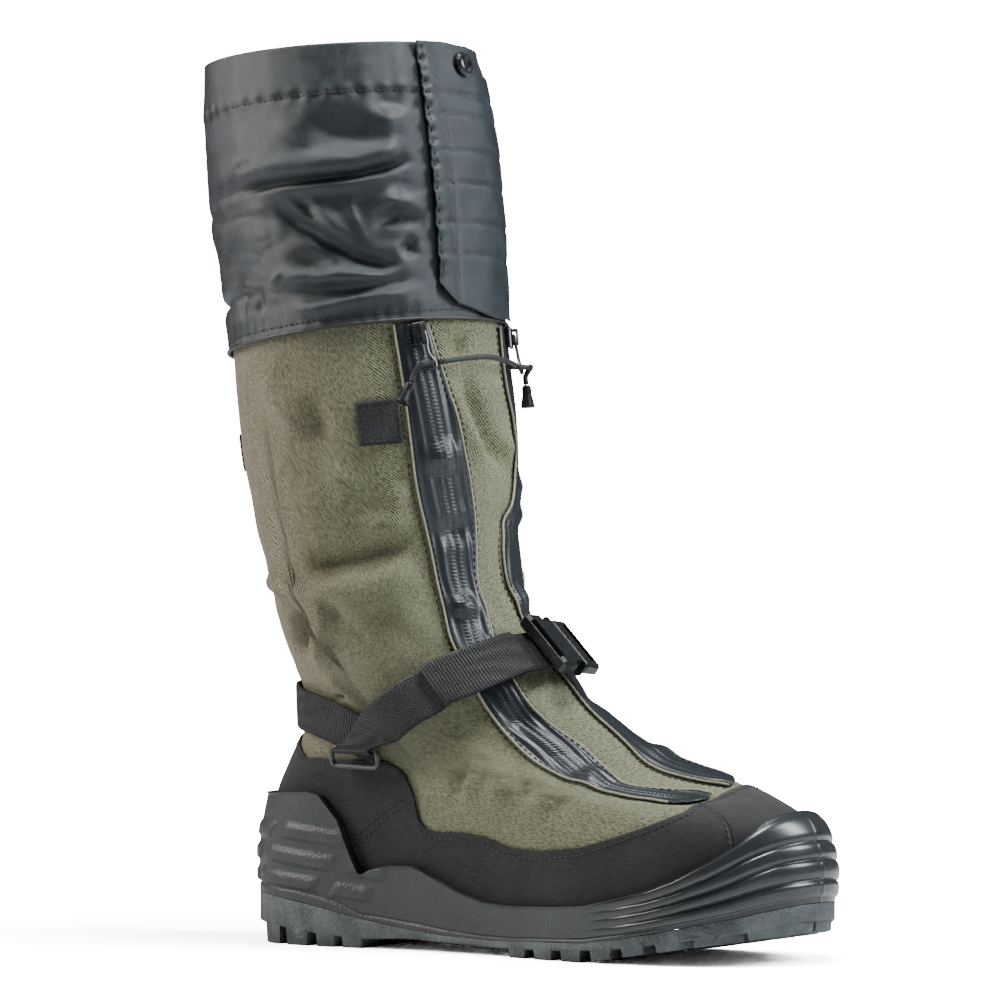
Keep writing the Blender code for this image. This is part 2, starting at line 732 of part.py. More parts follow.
def outsole():
    """The lugged outsole: a plate under the shell with the lugs joined to it."""
    angles = [*SHELL_ANGLES, 180, *[360 - a for a in reversed(SHELL_ANGLES[1:])]]
    top, low, bottom = [], [], []
    for degrees in angles:
        edge = sole_outline(degrees, SHELL_OUTSIDE)
        tucked = sole_outline(degrees, SHELL_OUTSIDE - 0.0008)
        top.append(Vector((edge.x, edge.y, parting(edge.x) - GAP)))
        low.append(Vector((edge.x, edge.y, plate_bottom(edge.x) + 0.0008)))
        bottom.append(Vector((tucked.x, tucked.y, plate_bottom(tucked.x))))
    plate = skin("outsole", [top, low, bottom], RUBBER, "ladder")
    lugs = [lug(*row) for row in (*HEEL_LUGS, *FOREFOOT_LUGS)]
    for start, end in (*HEEL_SIDE_LUGS, *FOREFOOT_SIDE_LUGS):
        lugs.append(lug(start, end, -1.0, -0.50))
        lugs.append(lug(start, end, 0.50, 1.0))
    return unite(plate, lugs)


def insole():
    """The foam footbed inside the upper, on the shell's floor."""
    inset = UPPER_WALL + GAP
    angles = [360 * i / 36 for i in range(36)]
    rings = []
    for rise in (GAP, GAP + INSOLE_WALL):
        ring = []
        for degrees in angles:
            edge = on_last(degrees, 0.0, -inset - 0.0006)
            ring.append(Vector((edge.x, edge.y, shell_floor(edge.x) + rise)))
        rings.append(ring)
    return skin("insole", rings, FOAM, "ladder")


def collar():
    """The nylon collar: it laps over the shaft's edge and ends in a thicker top hem."""
    foot = shaft_ring_at(COLLAR_FOOT)
    hem = shaft_ring_at(COLLAR_TOP - COLLAR_HEM)
    rows = (foot, foot + 0.10, foot + 0.5, foot + 1, foot + 1.6, hem - 0.05, hem, TOP_RING)
    thick = (1.5, 1.5, 1.0, 1.0, 1.0, 1.0, 1.7, 1.5)
    columns = [(degrees, rows) for degrees in ANGLES]
    return sheet_between("collar", columns, NYLON, lambda i, j: GAP,
                         lambda i, j: GAP + COLLAR_WALL * thick[j], closed=True)


def zip_tape(name, edges):
    """One water-resistant zip: a tape along the last with the coil's ridge down its middle."""
    outer_edge = [Vector((*row[:2], 0)) for row in edges]
    inner_edge = [Vector((*row[2:], 0)) for row in edges]
    rings = []
    for at in spread(0, len(edges) - 1, 2 * len(edges) - 1):
        outer, inner = catmull(outer_edge, at), catmull(inner_edge, at)
        width = (last_point(*outer[:2]) - last_point(*inner[:2])).length
        coil = min(ZIP_COIL_WIDTH / width / 2, 0.3)
        half = (0.5 - coil) / 2
        shares = (0, half, 0.5 - coil, 0.5 - coil / 2, 0.5 + coil / 2, 0.5 + coil, 1 - half, 1)
        places = [outer.lerp(inner, share)[:2] for share in shares]
        rises = (0, 0, 0, 1, 1, 0, 0, 0)
        face = [on_last(*place, TAPE_LIFT + TAPE_WALL + rise * ZIP_COIL_HEIGHT)
                for place, rise in zip(places, rises)]
        back = [on_last(*places[k], TAPE_LIFT) for k in (7, 6, 5, 2, 1, 0)]
        rings.append(face + back)
    return skin(name, rings, TAPE)


def webbing(name, stations, width, finish=None):
    """Webbing swept along stations of a middle point and the direction across it."""
    rings = []
    for i, (middle, side) in enumerate(stations):
        along = stations[min(i + 1, len(stations) - 1)][0] - stations[max(i - 1, 0)][0]
        thick = side.cross(along).normalized() * WEBBING / 2
        half = side * width / 2
        rings.append([middle - half - thick, middle - half + thick, middle + half + thick, middle + half - thick])
    return skin(name, rings, finish or STRAP)


def beside(degrees, ring, way):
    """The place on the last that is reached from another by a short straight way."""
    around = (smooth_point(degrees + 1, ring) - smooth_point(degrees - 1, ring)) / 2
    up = (smooth_point(degrees, ring + 0.05) - smooth_point(degrees, ring - 0.05)) / 0.1
    a, b, c = around.dot(around), around.dot(up), up.dot(up)
    p, q = around.dot(way), up.dot(way)
    det = a * c - b * b
    return degrees + (p * c - q * b) / det, ring + (a * q - b * p) / det


def strap_stations(places, lift, bar=None):
    """The middle points of webbing that lies on the last without cutting into it at its edges.
    lift: the webbing's middle above the last, one for each place. bar: the way along a bar that the
    first places lie square to."""
    stations = []
    for i, (degrees, ring) in enumerate(places):
        before = smooth_point(*places[max(i - 1, 0)])
        after = smooth_point(*places[min(i + 1, len(places) - 1)])
        normal = smooth_normal(degrees, ring)
        side = (after - before).cross(normal).normalized()
        if bar:
            side = bar.lerp(side, ease(i, 1, 7))
            side = (side - normal * side.dot(normal)).normalized()
        middle = smooth_point(degrees, ring)
        rise = 0.0
        for share in (-0.5, -0.3, 0.3, 0.5):
            edge = smooth_point(*beside(degrees, ring, side * WEBBING_WIDTH * share))
            rise = max(rise, (edge - middle).dot(normal))
        stations.append((middle + normal * (lift[i] + rise), side))
    return stations


def smooth_path(points, count):
    """A smooth run of angles and ring numbers through the given ones."""
    vectors = [Vector((a, b, 0)) for a, b in points]
    return [catmull(vectors, at)[:2] for at in spread(0, len(points) - 1, count)]


def mirrored(places):
    return [(-degrees, ring) for degrees, ring in places]


def heel_strap():
    """The strap that goes round the back of the ankle, under the ends of the front straps."""
    near = smooth_path(HEEL_STRAP, 16)
    places = near + [(-360 - degrees, ring) for degrees, ring in reversed(near[:-1])]
    lift = [STRAP_LIFT + WEBBING / 2] * len(places)
    return webbing("strap_heel", strap_stations(places, lift), WEBBING_WIDTH - 0.002)


def front_places(side):
    places = smooth_path(FRONT_STRAP, 24)
    return mirrored(places) if side > 0 else places


def ring_bar(side):
    """The way along the ring's bar, forward on the outer side and back on the inner one."""
    first, second = (smooth_point(degrees * -side, ring) for degrees, ring in RING_BAR)
    return ((second - first) * -side).normalized()


def front_stations(side):
    """A front strap's own run, from the ring to the buckle. It starts high, over the ring's wire."""
    places = front_places(side)
    low = FRONT_LIFT + WEBBING / 2
    top = low + 2 * RING_TURN
    flat = max(low + ZIP_COIL_HEIGHT, low + WEBBING + GAP)
    lift = [top + (flat - top) * ease(i, 1, 5) for i in range(6)]
    lift += [flat + (low + ZIP_COIL_HEIGHT - flat) * ease(i, 5, 9) for i in range(6, len(places))]
    return strap_stations(places, lift, ring_bar(side))


def ring_axes(side):
    """The middle of the ring's upper bar, the way along it, down the ring and out of the canvas."""
    top, across = front_stations(side)[0]
    normal = smooth_normal(*front_places(side)[0])
    down = across.cross(normal).normalized() * -side
    if down.z > 0:
        down = -down
    return top - normal * RING_TURN, across, down, normal


def front_strap(name, side):
    """A front strap: its lower end turns round the wire of a ring and comes back under itself."""
    stations = front_stations(side)
    centre, across, down, normal = ring_axes(side)
    turn = []
    for turned in (0, 36, 72, 108, 144):
        angle = math.radians(turned)
        turn.append((centre + (down * math.sin(angle) - normal * math.cos(angle)) * RING_TURN, across))
    places = front_places(side)[1:4]
    back = strap_stations(places, [FRONT_LIFT + WEBBING / 2] * 3, ring_bar(side))
    return webbing(name, back[::-1] + turn + stations, WEBBING_WIDTH)


def strap_tail():
    """The folded tail of the outer strap, sewn on top of it up to the buckle."""
    places = front_places(-1)
    stations = front_stations(-1)
    tail = []
    for i in range(14, len(stations) - 2):
        middle, across = stations[i]
        tail.append((middle + smooth_normal(*places[i]) * (WEBBING + 2 * GAP), across))
    return webbing("strap_tail", tail, WEBBING_WIDTH)


def tube(name, points, diameter, finish, closed=False, resolution=2):
    """A round wire or cord along a row of points."""
    curve = bpy.data.curves.new(name, "CURVE")
    curve.dimensions = "3D"
    curve.bevel_depth = diameter / 2
    curve.bevel_resolution = resolution
    curve.use_fill_caps = True
    spline = curve.splines.new("POLY")
    spline.points.add(len(points) - 1)
    for place, point in zip(spline.points, points):
        place.co = (*point, 1)
    spline.use_cyclic_u = closed
    curve.materials.append(material(finish))
    made = bpy.data.objects.new(name, curve)
    bpy.context.scene.collection.objects.link(made)
    return made


def round_loop(centre, long_way, short_way, length, width, corner):
    """The middle line of a wire bent to a rectangle with round corners."""
    points = []
    for sx, sy, start in ((1, 1, 0), (-1, 1, 90), (-1, -1, 180), (1, -1, 270)):
        for turned in (0, 45, 90):
            angle = math.radians(start + turned)
            a = sx * (length / 2 - corner) + corner * math.cos(angle)
            b = sy * (width / 2 - corner) + corner * math.sin(angle)
            points.append(centre + long_way * a + short_way * b)
    return points


def ring(name, side):
    """The wire ring that the front strap's lower end holds."""
    centre, across, down, _ = ring_axes(side)
    depth = RING_DEPTH - RING_WIRE
    return tube(name, round_loop(centre + down * depth / 2, across, down, RING_LENGTH, depth, 0.003),
                RING_WIRE, ENAMEL, closed=True)


def strap_keeper():
    """The short upright band at the back that holds the heel strap in place."""
    degrees, at = HEEL_STRAP[-1]
    normal = smooth_normal(degrees, at)
    run = [(degrees + step, at) for step in (-2, 0, 2)]
    strap = strap_stations(run, [STRAP_LIFT + WEBBING / 2] * 3)[1][0]
    over = strap + normal * (WEBBING + 2 * GAP)
    half = WEBBING_WIDTH / 2
    up = (smooth_point(degrees, at + 0.1) - smooth_point(degrees, at - 0.1)).normalized()
    sewn = []
    for share in (-1.36, -1.18, 1.25, 1.50):
        place = beside(degrees, at, up * half * share)
        sewn.append(smooth_point(*place) + smooth_normal(*place) * (RAND_OUTSIDE + GAP + WEBBING / 2))
    middle = [over + up * half * share for share in (-1.02, 0, 1.02)]
    across = up.cross(normal).normalized()
    return webbing("strap_keeper", [(point, across) for point in sewn[:2] + middle + sewn[2:]], KEEPER_WIDTH)


def back_tape():
    """The narrow tape on the canvas's back seam."""
    edge = shaft_ring_at(COLLAR_FOOT) - 0.12
    columns = [(degrees, spread(cloth_rows(degrees)[RAND_ROWS - 1] + 0.06, edge, 22))
               for degrees in (175.5, 178.5, 181.5, 184.5)]
    return sheet_between("back_tape", columns, STRAP, lambda i, j: GAP * 2, lambda i, j: GAP * 2 + 0.0007)


def hook_patch(name, centre):
    """A square of hook tape on the canvas below the collar."""
    half = math.degrees(PATCH_WIDTH / SHAFT_DIAMETER)
    middle = shaft_ring_at(PATCH_UP)
    tall = shaft_ring_at(PATCH_UP + PATCH_HEIGHT) - middle
    columns = [(degrees, spread(middle - tall / 2, middle + tall / 2, 5)) for degrees in spread(centre - half, centre + half, 6)]
    return sheet_between(name, columns, STRAP, lambda i, j: GAP, lambda i, j: GAP + 0.0014)


def flap():
    """The collar's front closure: a long panel of hook tape and nylon with a tab for the snap."""
    foot = shaft_ring_at(COLLAR_FOOT)
    columns = []
    for degrees, lowest, top in FLAP_EDGES:
        columns.append((degrees, spread(foot + lowest, TOP_RING - top, 9)))
    inside = GAP * 2 + COLLAR_WALL * 1.7
    return sheet_between("front_flap", columns, NYLON, lambda i, j: inside, lambda i, j: inside + FLAP_WALL)


def frame_on_last(degrees, ring, out, turned=0.0):
    """Axes at a place on the last: along the ring, up the meridian and outwards, turned in its plane."""
    outward = smooth_normal(degrees, ring)
    up = smooth_point(degrees, ring + 0.05) - smooth_point(degrees, ring - 0.05)
    up = (up - outward * up.dot(outward)).normalized()
    along = up.cross(outward)
    a = math.radians(turned)
    along, up = along * math.cos(a) + up * math.sin(a), up * math.cos(a) - along * math.sin(a)
    centre = last_point(degrees, ring) + outward * out
    return centre, along, up, outward


def placed(bm, frame):
    """Moves a bmesh from its own axes to axes on the last."""
    centre, along, up, outward = frame
    matrix = Matrix((along, up, outward)).transposed().to_4x4()
    matrix.translation = centre
    bmesh.ops.transform(bm, matrix=matrix, verts=bm.verts)


def block(bm, size, centre, bevel=0.0):
    """A box with its edges rounded off."""
    made = bmesh.ops.create_cube(bm, size=1.0)
    verts = made["verts"]
    bmesh.ops.transform(bm, matrix=Matrix.Diagonal((*size, 1)), verts=verts)
    bmesh.ops.translate(bm, vec=centre, verts=verts)
    if bevel:
        edges = list({edge for vert in verts for edge in vert.link_edges})
        bmesh.ops.bevel(bm, geom=edges, offset=bevel, offset_type="OFFSET", segments=1, profile=0.5,
                        affect="EDGES", clamp_overlap=True, material=-1)


def solid_block(name, size, centre, bevel, frame, finish):
    bm = bmesh.new()
    block(bm, size, centre, bevel)
    placed(bm, frame)
    return link(bm, name, finish)


def turned_body(bm, profile, count):
    """A round body from rows of radius and height."""
    loops = []
    for radius, height in profile:
        loop = []
        for i in range(count):
            angle = 2 * math.pi * i / count
            loop.append(bm.verts.new((radius * math.cos(angle), radius * math.sin(angle), height)))
        loops.append(loop)
    for low, high in zip(loops, loops[1:]):
        for i in range(count):
            bm.faces.new((low[i], low[(i + 1) % count], high[(i + 1) % count], high[i]))
    bm.faces.new(loops[0])
    bm.faces.new(loops[-1])


def snap():
    """The snap's cap: a dished disc with a raised rim, on the flap's tab."""
    r, h = SNAP_DIAMETER / 2, SNAP_HEIGHT
    profile = ((r * 0.60, 0), (r, h * 0.25), (r, h * 0.62), (r * 0.86, h), (r * 0.70, h), (r * 0.58, h * 0.62),
               (r * 0.30, h * 0.80))
    bm = bmesh.new()
    turned_body(bm, profile, 20)
    inside = GAP * 3 + COLLAR_WALL * 1.7 + FLAP_WALL
    placed(bm, frame_on_last(1.7, TOP_RING - 0.25, inside))
    return link(bm, "snap_cap", PLASTIC)


def below_collar(drop):
    """The ring number at a length below the collar's lower edge."""
    return shaft_ring_at(COLLAR_FOOT - drop)


def slider(name, place):
    """A zip's slider: a body over the coil with a slotted bridge for its pull."""
    degrees, turned = place
    frame = frame_on_last(degrees, below_collar(SLIDER_DROP), TAPE_LIFT + TAPE_WALL + ZIP_COIL_HEIGHT + GAP, turned)
    body = solid_block(name, (0.0080, 0.0120, 0.0022), (0, 0, 0.0011), 0.0006, frame, ENAMEL)
    bridge = solid_block(name + " bridge", (0.0022, 0.0090, 0.0040), (0, 0, 0.0038), 0.0004, frame, ENAMEL)
    slot = solid_block(name + " slot", (0.0050, 0.0056, 0.0023), (0, 0, SLOT_HEIGHT), 0.0, frame, ENAMEL)
    unite(body, [bridge])
    hide_tool(slot)
    cut = body.modifiers.new("slot", "BOOLEAN")
    cut.operation = "DIFFERENCE"
    cut.object = slot
    return body


def hide_tool(tool):
    tool.hide_render = True
    tool.display_type = "WIRE"


def pull_points(degrees, turned):
    """A pull's middle line: narrow in the slider's slot, and a round eye for the cord at its lower end."""
    base = TAPE_LIFT + TAPE_WALL + ZIP_COIL_HEIGHT + GAP
    centre, along, up, outward = frame_on_last(degrees, below_collar(SLIDER_DROP), base, turned)
    half = []
    for across, down in ((0.60, -0.045), (0.92, -0.025), (0.94, 0.24), (0.66, 0.36), (0.68, 0.55), (1.20, 0.70),
                         (1.90, 0.82), (1.70, 0.94), (0.80, 1.0)):
        half.append((across * PULL_WIDTH / 2, down * PULL_LENGTH))
    points = []
    for across, down in half + [(-across, down) for across, down in reversed(half)]:
        lift = SLOT_HEIGHT + PULL_TILT * down
        points.append(centre + along * across - up * down + outward * lift)
    return points


def pull(name, place):
    """A zip's pull: a long wire loop that hangs from the slider's bridge."""
    return tube(name, pull_points(*place), PULL_WIRE, ENAMEL, closed=True, resolution=1)


def buckle():
    """A side-release buckle in two halves, over the ridge of the instep."""
    top = FRONT_LIFT + WEBBING + GAP * 5 + ZIP_COIL_HEIGHT
    degrees, at, turned = BUCKLE_PLACE
    frame = frame_on_last(degrees, at, top, turned)
    half = BUCKLE_WIDTH / 2
    socket = solid_block("buckle_socket", (BUCKLE_LENGTH * 0.56, BUCKLE_WIDTH, BUCKLE_HEIGHT),
                         (-BUCKLE_LENGTH * 0.22, 0, BUCKLE_HEIGHT / 2), 0.0016, frame, PLASTIC)
    slots = []
    for x, y, wide, tall in ((-0.44, 0.0, 0.10, 0.72), (-0.10, 0.48, 0.20, 0.16), (-0.10, -0.48, 0.20, 0.16)):
        slots.append(solid_block("buckle slot", (BUCKLE_LENGTH * wide, BUCKLE_WIDTH * tall, BUCKLE_HEIGHT * 3),
                                 (BUCKLE_LENGTH * x, BUCKLE_WIDTH * y, BUCKLE_HEIGHT / 2), 0.0, frame, PLASTIC))
    plug = solid_block("buckle_plug", (BUCKLE_LENGTH * 0.36, BUCKLE_WIDTH * 0.92, BUCKLE_HEIGHT * 0.8),
                       (BUCKLE_LENGTH * 0.26, 0, BUCKLE_HEIGHT / 2), 0.0014, frame, PLASTIC)
    gate = solid_block("buckle gate", (BUCKLE_LENGTH * 0.10, BUCKLE_WIDTH * 0.72, BUCKLE_HEIGHT * 3),
                       (BUCKLE_LENGTH * 0.33, 0, BUCKLE_HEIGHT / 2), 0.0, frame, PLASTIC)
    for body, cutters in ((socket, slots), (plug, [gate])):
        group = bpy.data.collections.new(body.name + " cutters")
        for cutter in cutters:
            group.objects.link(cutter)
            hide_tool(cutter)
        cut = body.modifiers.new("cut", "BOOLEAN")
        cut.operation = "DIFFERENCE"
        cut.operand_type = "COLLECTION"
        cut.collection = group


def cord_end(name, top, down):
    """A bell-shaped cord end, its mouth down."""
    down = down.normalized()
    across = down.orthogonal().normalized()
    bm = bmesh.new()
    profile = ((0.0016, 0), (0.0026, 0.0012), (0.0026, 0.0050), (0.0038, 0.0110), (0.0038, 0.0122))
    turned_body(bm, profile, 12)
    placed(bm, (top, across, down.cross(across), down))
    return link(bm, name, PLASTIC)


def hanging_place(degrees, drop, out):
    return on_last(degrees, below_collar(drop), out)


def cord():
    """The cord that joins both pulls, with an end hanging at each side."""
    eyes = []
    eye = TAPE_LIFT + TAPE_WALL + ZIP_COIL_HEIGHT + GAP + SLOT_HEIGHT + PULL_TILT * PULL_LENGTH * 0.83
    for degrees, turned in (LATERAL_SLIDER, MEDIAL_SLIDER):
        centre, along, up, outward = frame_on_last(degrees, below_collar(SLIDER_DROP), eye, turned)
        eyes.append((centre - up * PULL_LENGTH * 0.83, along, outward))
    (near, near_way, near_out), (far, far_way, far_out) = eyes
    side = PULL_WIDTH * 0.95
    high = 0.0038
    middle = hanging_place(*CORD_MIDDLE)
    ends = []
    for top, low in (LATERAL_CORD_END, MEDIAL_CORD_END):
        end = hanging_place(*top)
        ends.append((end, (hanging_place(*low) - end).normalized()))
    (near_end, near_down), (far_end, far_down) = ends

    def threaded(centre, way, out, steps):
        return [centre + way * side * across + out * high * up for across, up in steps]

    # The cord goes through each pull's eye: over its outer wire and behind its inner one
    line = [near_end, near_end - near_down * 0.0045]
    line += threaded(near, near_way, near_out, ((-1.4, 1.2), (-0.8, 1), (0, 0), (0.8, -1), (1.5, -0.95), (2.6, -0.4)))
    line += [middle]
    line += threaded(far, far_way, far_out, ((-2.6, -0.4), (-1.5, -0.95), (-0.8, -1), (0, 0), (0.7, 1), (0.9, 1.35)))
    line += [far_end - far_down * 0.0045, far_end]
    points = [catmull(line, at) for at in spread(0, len(line) - 1, 65)]
    tube("pull_cord", points, CORD_DIAMETER, STRAP)
    for name, (end, way) in (("cord_end_lateral", ends[0]), ("cord_end_medial", ends[1])):
        cord_end(name, end + way * 2 * GAP, way)


def main():
    for old in list(bpy.data.objects):
        bpy.data.objects.remove(old)
    outsole()
    shell()
    insole()
    upper()
    rand()
    toe_cap()
    collar()
    zip_tape("zip_tape_lateral", LATERAL_ZIP)
    zip_tape("zip_tape_medial", MEDIAL_ZIP)
    back_tape()
    for name, centre in HOOK_PATCHES:
        hook_patch(name, centre)
    heel_strap()
    strap_keeper()
    for name, side in (("lateral", -1), ("medial", 1)):
        front_strap("strap_front_" + name, side)
        ring("ring_" + name, side)
    strap_tail()
    buckle()
    flap()
    snap()
    for name, place in (("lateral", LATERAL_SLIDER), ("medial", MEDIAL_SLIDER)):
        slider("slider_" + name, place)
        pull("pull_" + name, place)
    cord()


main()
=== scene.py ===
# %% [markdown]
# This lesson dresses a winter overshoe: a rubber galosh with a tall canvas shaft and a nylon collar.
# The solid parts come in as a fixed frame. The scene adds the cloth, the stitches and the finishes.
# Lengths are metres, +Z is up, +X points to the toe and +Y to the inner side of the right leg.

# %% Load the frame
import math

import bmesh
import bpy
import numpy as np
from mathutils import Matrix, Vector, noise


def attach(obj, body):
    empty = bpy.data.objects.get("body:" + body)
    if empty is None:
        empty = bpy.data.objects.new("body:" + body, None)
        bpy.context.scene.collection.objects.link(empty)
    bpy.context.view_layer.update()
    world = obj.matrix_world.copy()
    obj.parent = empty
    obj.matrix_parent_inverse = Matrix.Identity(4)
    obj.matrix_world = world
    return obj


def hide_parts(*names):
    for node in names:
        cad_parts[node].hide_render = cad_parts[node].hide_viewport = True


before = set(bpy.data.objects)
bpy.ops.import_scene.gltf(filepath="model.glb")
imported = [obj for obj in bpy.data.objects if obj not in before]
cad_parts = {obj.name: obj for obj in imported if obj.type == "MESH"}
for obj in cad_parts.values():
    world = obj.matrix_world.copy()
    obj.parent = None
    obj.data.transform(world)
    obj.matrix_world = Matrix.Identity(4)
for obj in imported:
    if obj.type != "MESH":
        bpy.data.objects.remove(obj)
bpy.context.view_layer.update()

print("nodes:", len(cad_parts))

# %% [markdown]
# The photograph was taken from 0.2 m above the floor, held level, 35 degrees in front of the outer side.
# A long lens keeps the boot's upright lines straight. The shift slides the picture, not the camera.

# %% Camera
AZIMUTH = math.radians(35)
DISTANCE = 2.6
EYE_HEIGHT = 0.200
AIM_X = 0.1175

lens = bpy.data.cameras.new("camera")
lens.lens = 177.84
lens.sensor_width = 36
lens.shift_x = -0.038
lens.shift_y = 0.070
camera = bpy.data.objects.new("camera", lens)
camera.location = (math.sin(AZIMUTH) * DISTANCE + AIM_X, -math.cos(AZIMUTH) * DISTANCE, EYE_HEIGHT)
camera.rotation_euler = (math.radians(90), 0, AZIMUTH)
bpy.context.scene.collection.objects.link(camera)
bpy.context.scene.camera = camera
print("camera at", tuple(round(c, 3) for c in camera.location))

# %% [markdown]
# A material is a small graph of nodes. One helper adds a node, sets it up and joins its inputs.
# Colours are written as the eye names them, in hex, and one function turns them to linear light.

# %% Helpers for materials
def tone(code):
    """A hex colour as linear red, green, blue and alpha."""
    parts = [int(code[i:i + 2], 16) / 255 for i in (1, 3, 5)]
    return (*[c / 12.92 if c <= 0.04045 else ((c + 0.055) / 1.055) ** 2.4 for c in parts], 1.0)


def plug(node, inputs):
    """Sets a node's inputs, by name or number. Sockets are joined, and plain values are set."""
    for key, value in inputs.items():
        if isinstance(value, bpy.types.NodeSocket):
            node.id_data.links.new(value, node.inputs[key])
        else:
            node.inputs[key].default_value = value


def add(tree, kind, inputs=None, **settings):
    """Adds a node, with its settings and its inputs."""
    made = tree.nodes.new("ShaderNode" + kind)
    for name, value in settings.items():
        setattr(made, name, value)
    plug(made, inputs or {})
    return made


def new_finish(name, roughness, ior=1.50, **more):
    """A material with its shader set to plain values. Returns it with its tree and shader."""
    made = bpy.data.materials.new(name)
    made.use_nodes = True
    shader = made.node_tree.nodes["Principled BSDF"]
    more = {key.replace("_", " "): value for key, value in more.items()}
    plug(shader, {"Roughness": roughness, "IOR": ior, **more})
    return made, made.node_tree, shader


TURN = 2 * math.pi

# %% [markdown]
# Canvas: dope-dyed polyester woven as a coarse twill from mixed light and dark yarns. The eye sees
# slanting lines of pale thread over a dark ground, and no shine. The lines are 1.85 mm apart along the
# weft, which is 1.3 mm straight across them. The UV map holds metres along the weft and the warp, so
# the weave follows the cloth over the foot.

# %% Olive canvas
TWILL_PITCH = 0.00185
canvas, tree, shader = new_finish("heathered polyester twill", 0.86, Sheen_Weight=0.06, Sheen_Roughness=0.6)
cloth = add(tree, "UVMap", uv_map="cloth").outputs["UV"]
axes = add(tree, "SeparateXYZ", {"Vector": cloth})
yarns = []
for stretch in ((1000, 420, 1), (420, 1000, 1)):
    drawn = add(tree, "Mapping", {"Vector": cloth, "Scale": stretch}).outputs[0]
    yarns.append(add(tree, "TexNoise", {"Vector": drawn, "Scale": 1.0, "Detail": 1.0},
                     noise_dimensions="2D").outputs[0])
warp, weft = yarns
slant = add(tree, "Math", {0: axes.outputs["X"], 1: axes.outputs["Y"]}, operation="ADD").outputs[0]
wander = add(tree, "TexNoise", {"Vector": cloth, "Scale": 260.0, "Detail": 2.0},
             noise_dimensions="2D").outputs[0]
slant = add(tree, "Math", {0: slant, 1: TURN / TWILL_PITCH}, operation="MULTIPLY").outputs[0]
slant = add(tree, "Math", {0: wander, 1: 0.35, 2: slant}, operation="MULTIPLY_ADD").outputs[0]
line = add(tree, "Math", {0: slant}, operation="SINE").outputs[0]
over = add(tree, "MapRange", {"Value": line, "From Min": -0.7, "From Max": 0.7}).outputs[0]
yarn = add(tree, "Mix", {0: over, 2: weft, 3: warp}, data_type="FLOAT").outputs[0]
yarn = add(tree, "MapRange", {"Value": yarn, "From Min": 0.35, "From Max": 0.65}).outputs[0]
shade = add(tree, "Math", {0: yarn, 1: 0.48}, operation="MULTIPLY").outputs[0]
shade = add(tree, "Math", {0: over, 1: 0.52, 2: shade}, operation="MULTIPLY_ADD").outputs[0]
place = add(tree, "TexCoord").outputs["Object"]
mottle = add(tree, "TexNoise", {"Vector": place, "Scale": 22.0, "Detail": 3.0}).outputs[0]
front = add(tree, "SeparateXYZ", {"Vector": place}).outputs["X"]
front = add(tree, "MapRange", {"Value": front, "From Min": -0.060, "From Max": 0.070}).outputs[0]
front = add(tree, "Math", {0: mottle, 1: 0.7, 2: front}, operation="MULTIPLY_ADD").outputs[0]
front = add(tree, "MapRange", {"Value": front, "From Min": 0.35, "From Max": 1.25}).outputs[0]
ground = add(tree, "Mix", {0: front, 6: tone("#1f1a15"), 7: tone("#13140e")}, data_type="RGBA").outputs[2]
pale = add(tree, "Mix", {0: front, 6: tone("#93846f"), 7: tone("#8f9170")}, data_type="RGBA").outputs[2]
colour = add(tree, "Mix", {0: shade, 6: ground, 7: pale}, data_type="RGBA").outputs[2]
bump = add(tree, "Bump", {"Height": shade, "Distance": 0.00045, "Strength": 0.8})
plug(shader, {"Base Color": colour, "Normal": bump.outputs[0]})
print("canvas nodes:", len(tree.nodes))

# %% [markdown]
# Rand cloth: black softshell with a brushed face, like fine suede. It is matt, with a grey bloom where it
# is rubbed and short streaks along the brushing.

# %% Black brushed softshell
softshell, tree, shader = new_finish("brushed black softshell", 0.88,
                                     Sheen_Weight=0.08, Sheen_Roughness=0.45)
place = add(tree, "TexCoord").outputs["Object"]
drawn = add(tree, "Mapping", {"Vector": place, "Scale": (260, 260, 1500)}).outputs[0]
fibre = add(tree, "TexNoise", {"Vector": drawn, "Scale": 1.0, "Detail": 3.0}).outputs[0]
bloom = add(tree, "TexNoise", {"Vector": place, "Scale": 30.0, "Detail": 4.0}).outputs[0]
worn = add(tree, "Math", {0: bloom, 1: 0.4}, operation="MULTIPLY").outputs[0]
worn = add(tree, "Math", {0: fibre, 1: 0.6, 2: worn}, operation="MULTIPLY_ADD").outputs[0]
worn = add(tree, "MapRange", {"Value": worn, "From Min": 0.38, "From Max": 0.66}).outputs[0]
colour = add(tree, "Mix", {0: worn, 6: tone("#0b0b0c"), 7: tone("#222326")}, data_type="RGBA").outputs[2]
bump = add(tree, "Bump", {"Height": fibre, "Distance": 0.00025, "Strength": 0.45})
plug(shader, {"Base Color": colour, "Normal": bump.outputs[0]})
print("softshell ready")

# %% [markdown]
# Collar cloth: plain-woven nylon with a polyurethane back. The smooth flat threads throw soft broad
# highlights, cool where the light is blue. Threads are 0.3 mm, drawn at 0.8 mm so that they show.

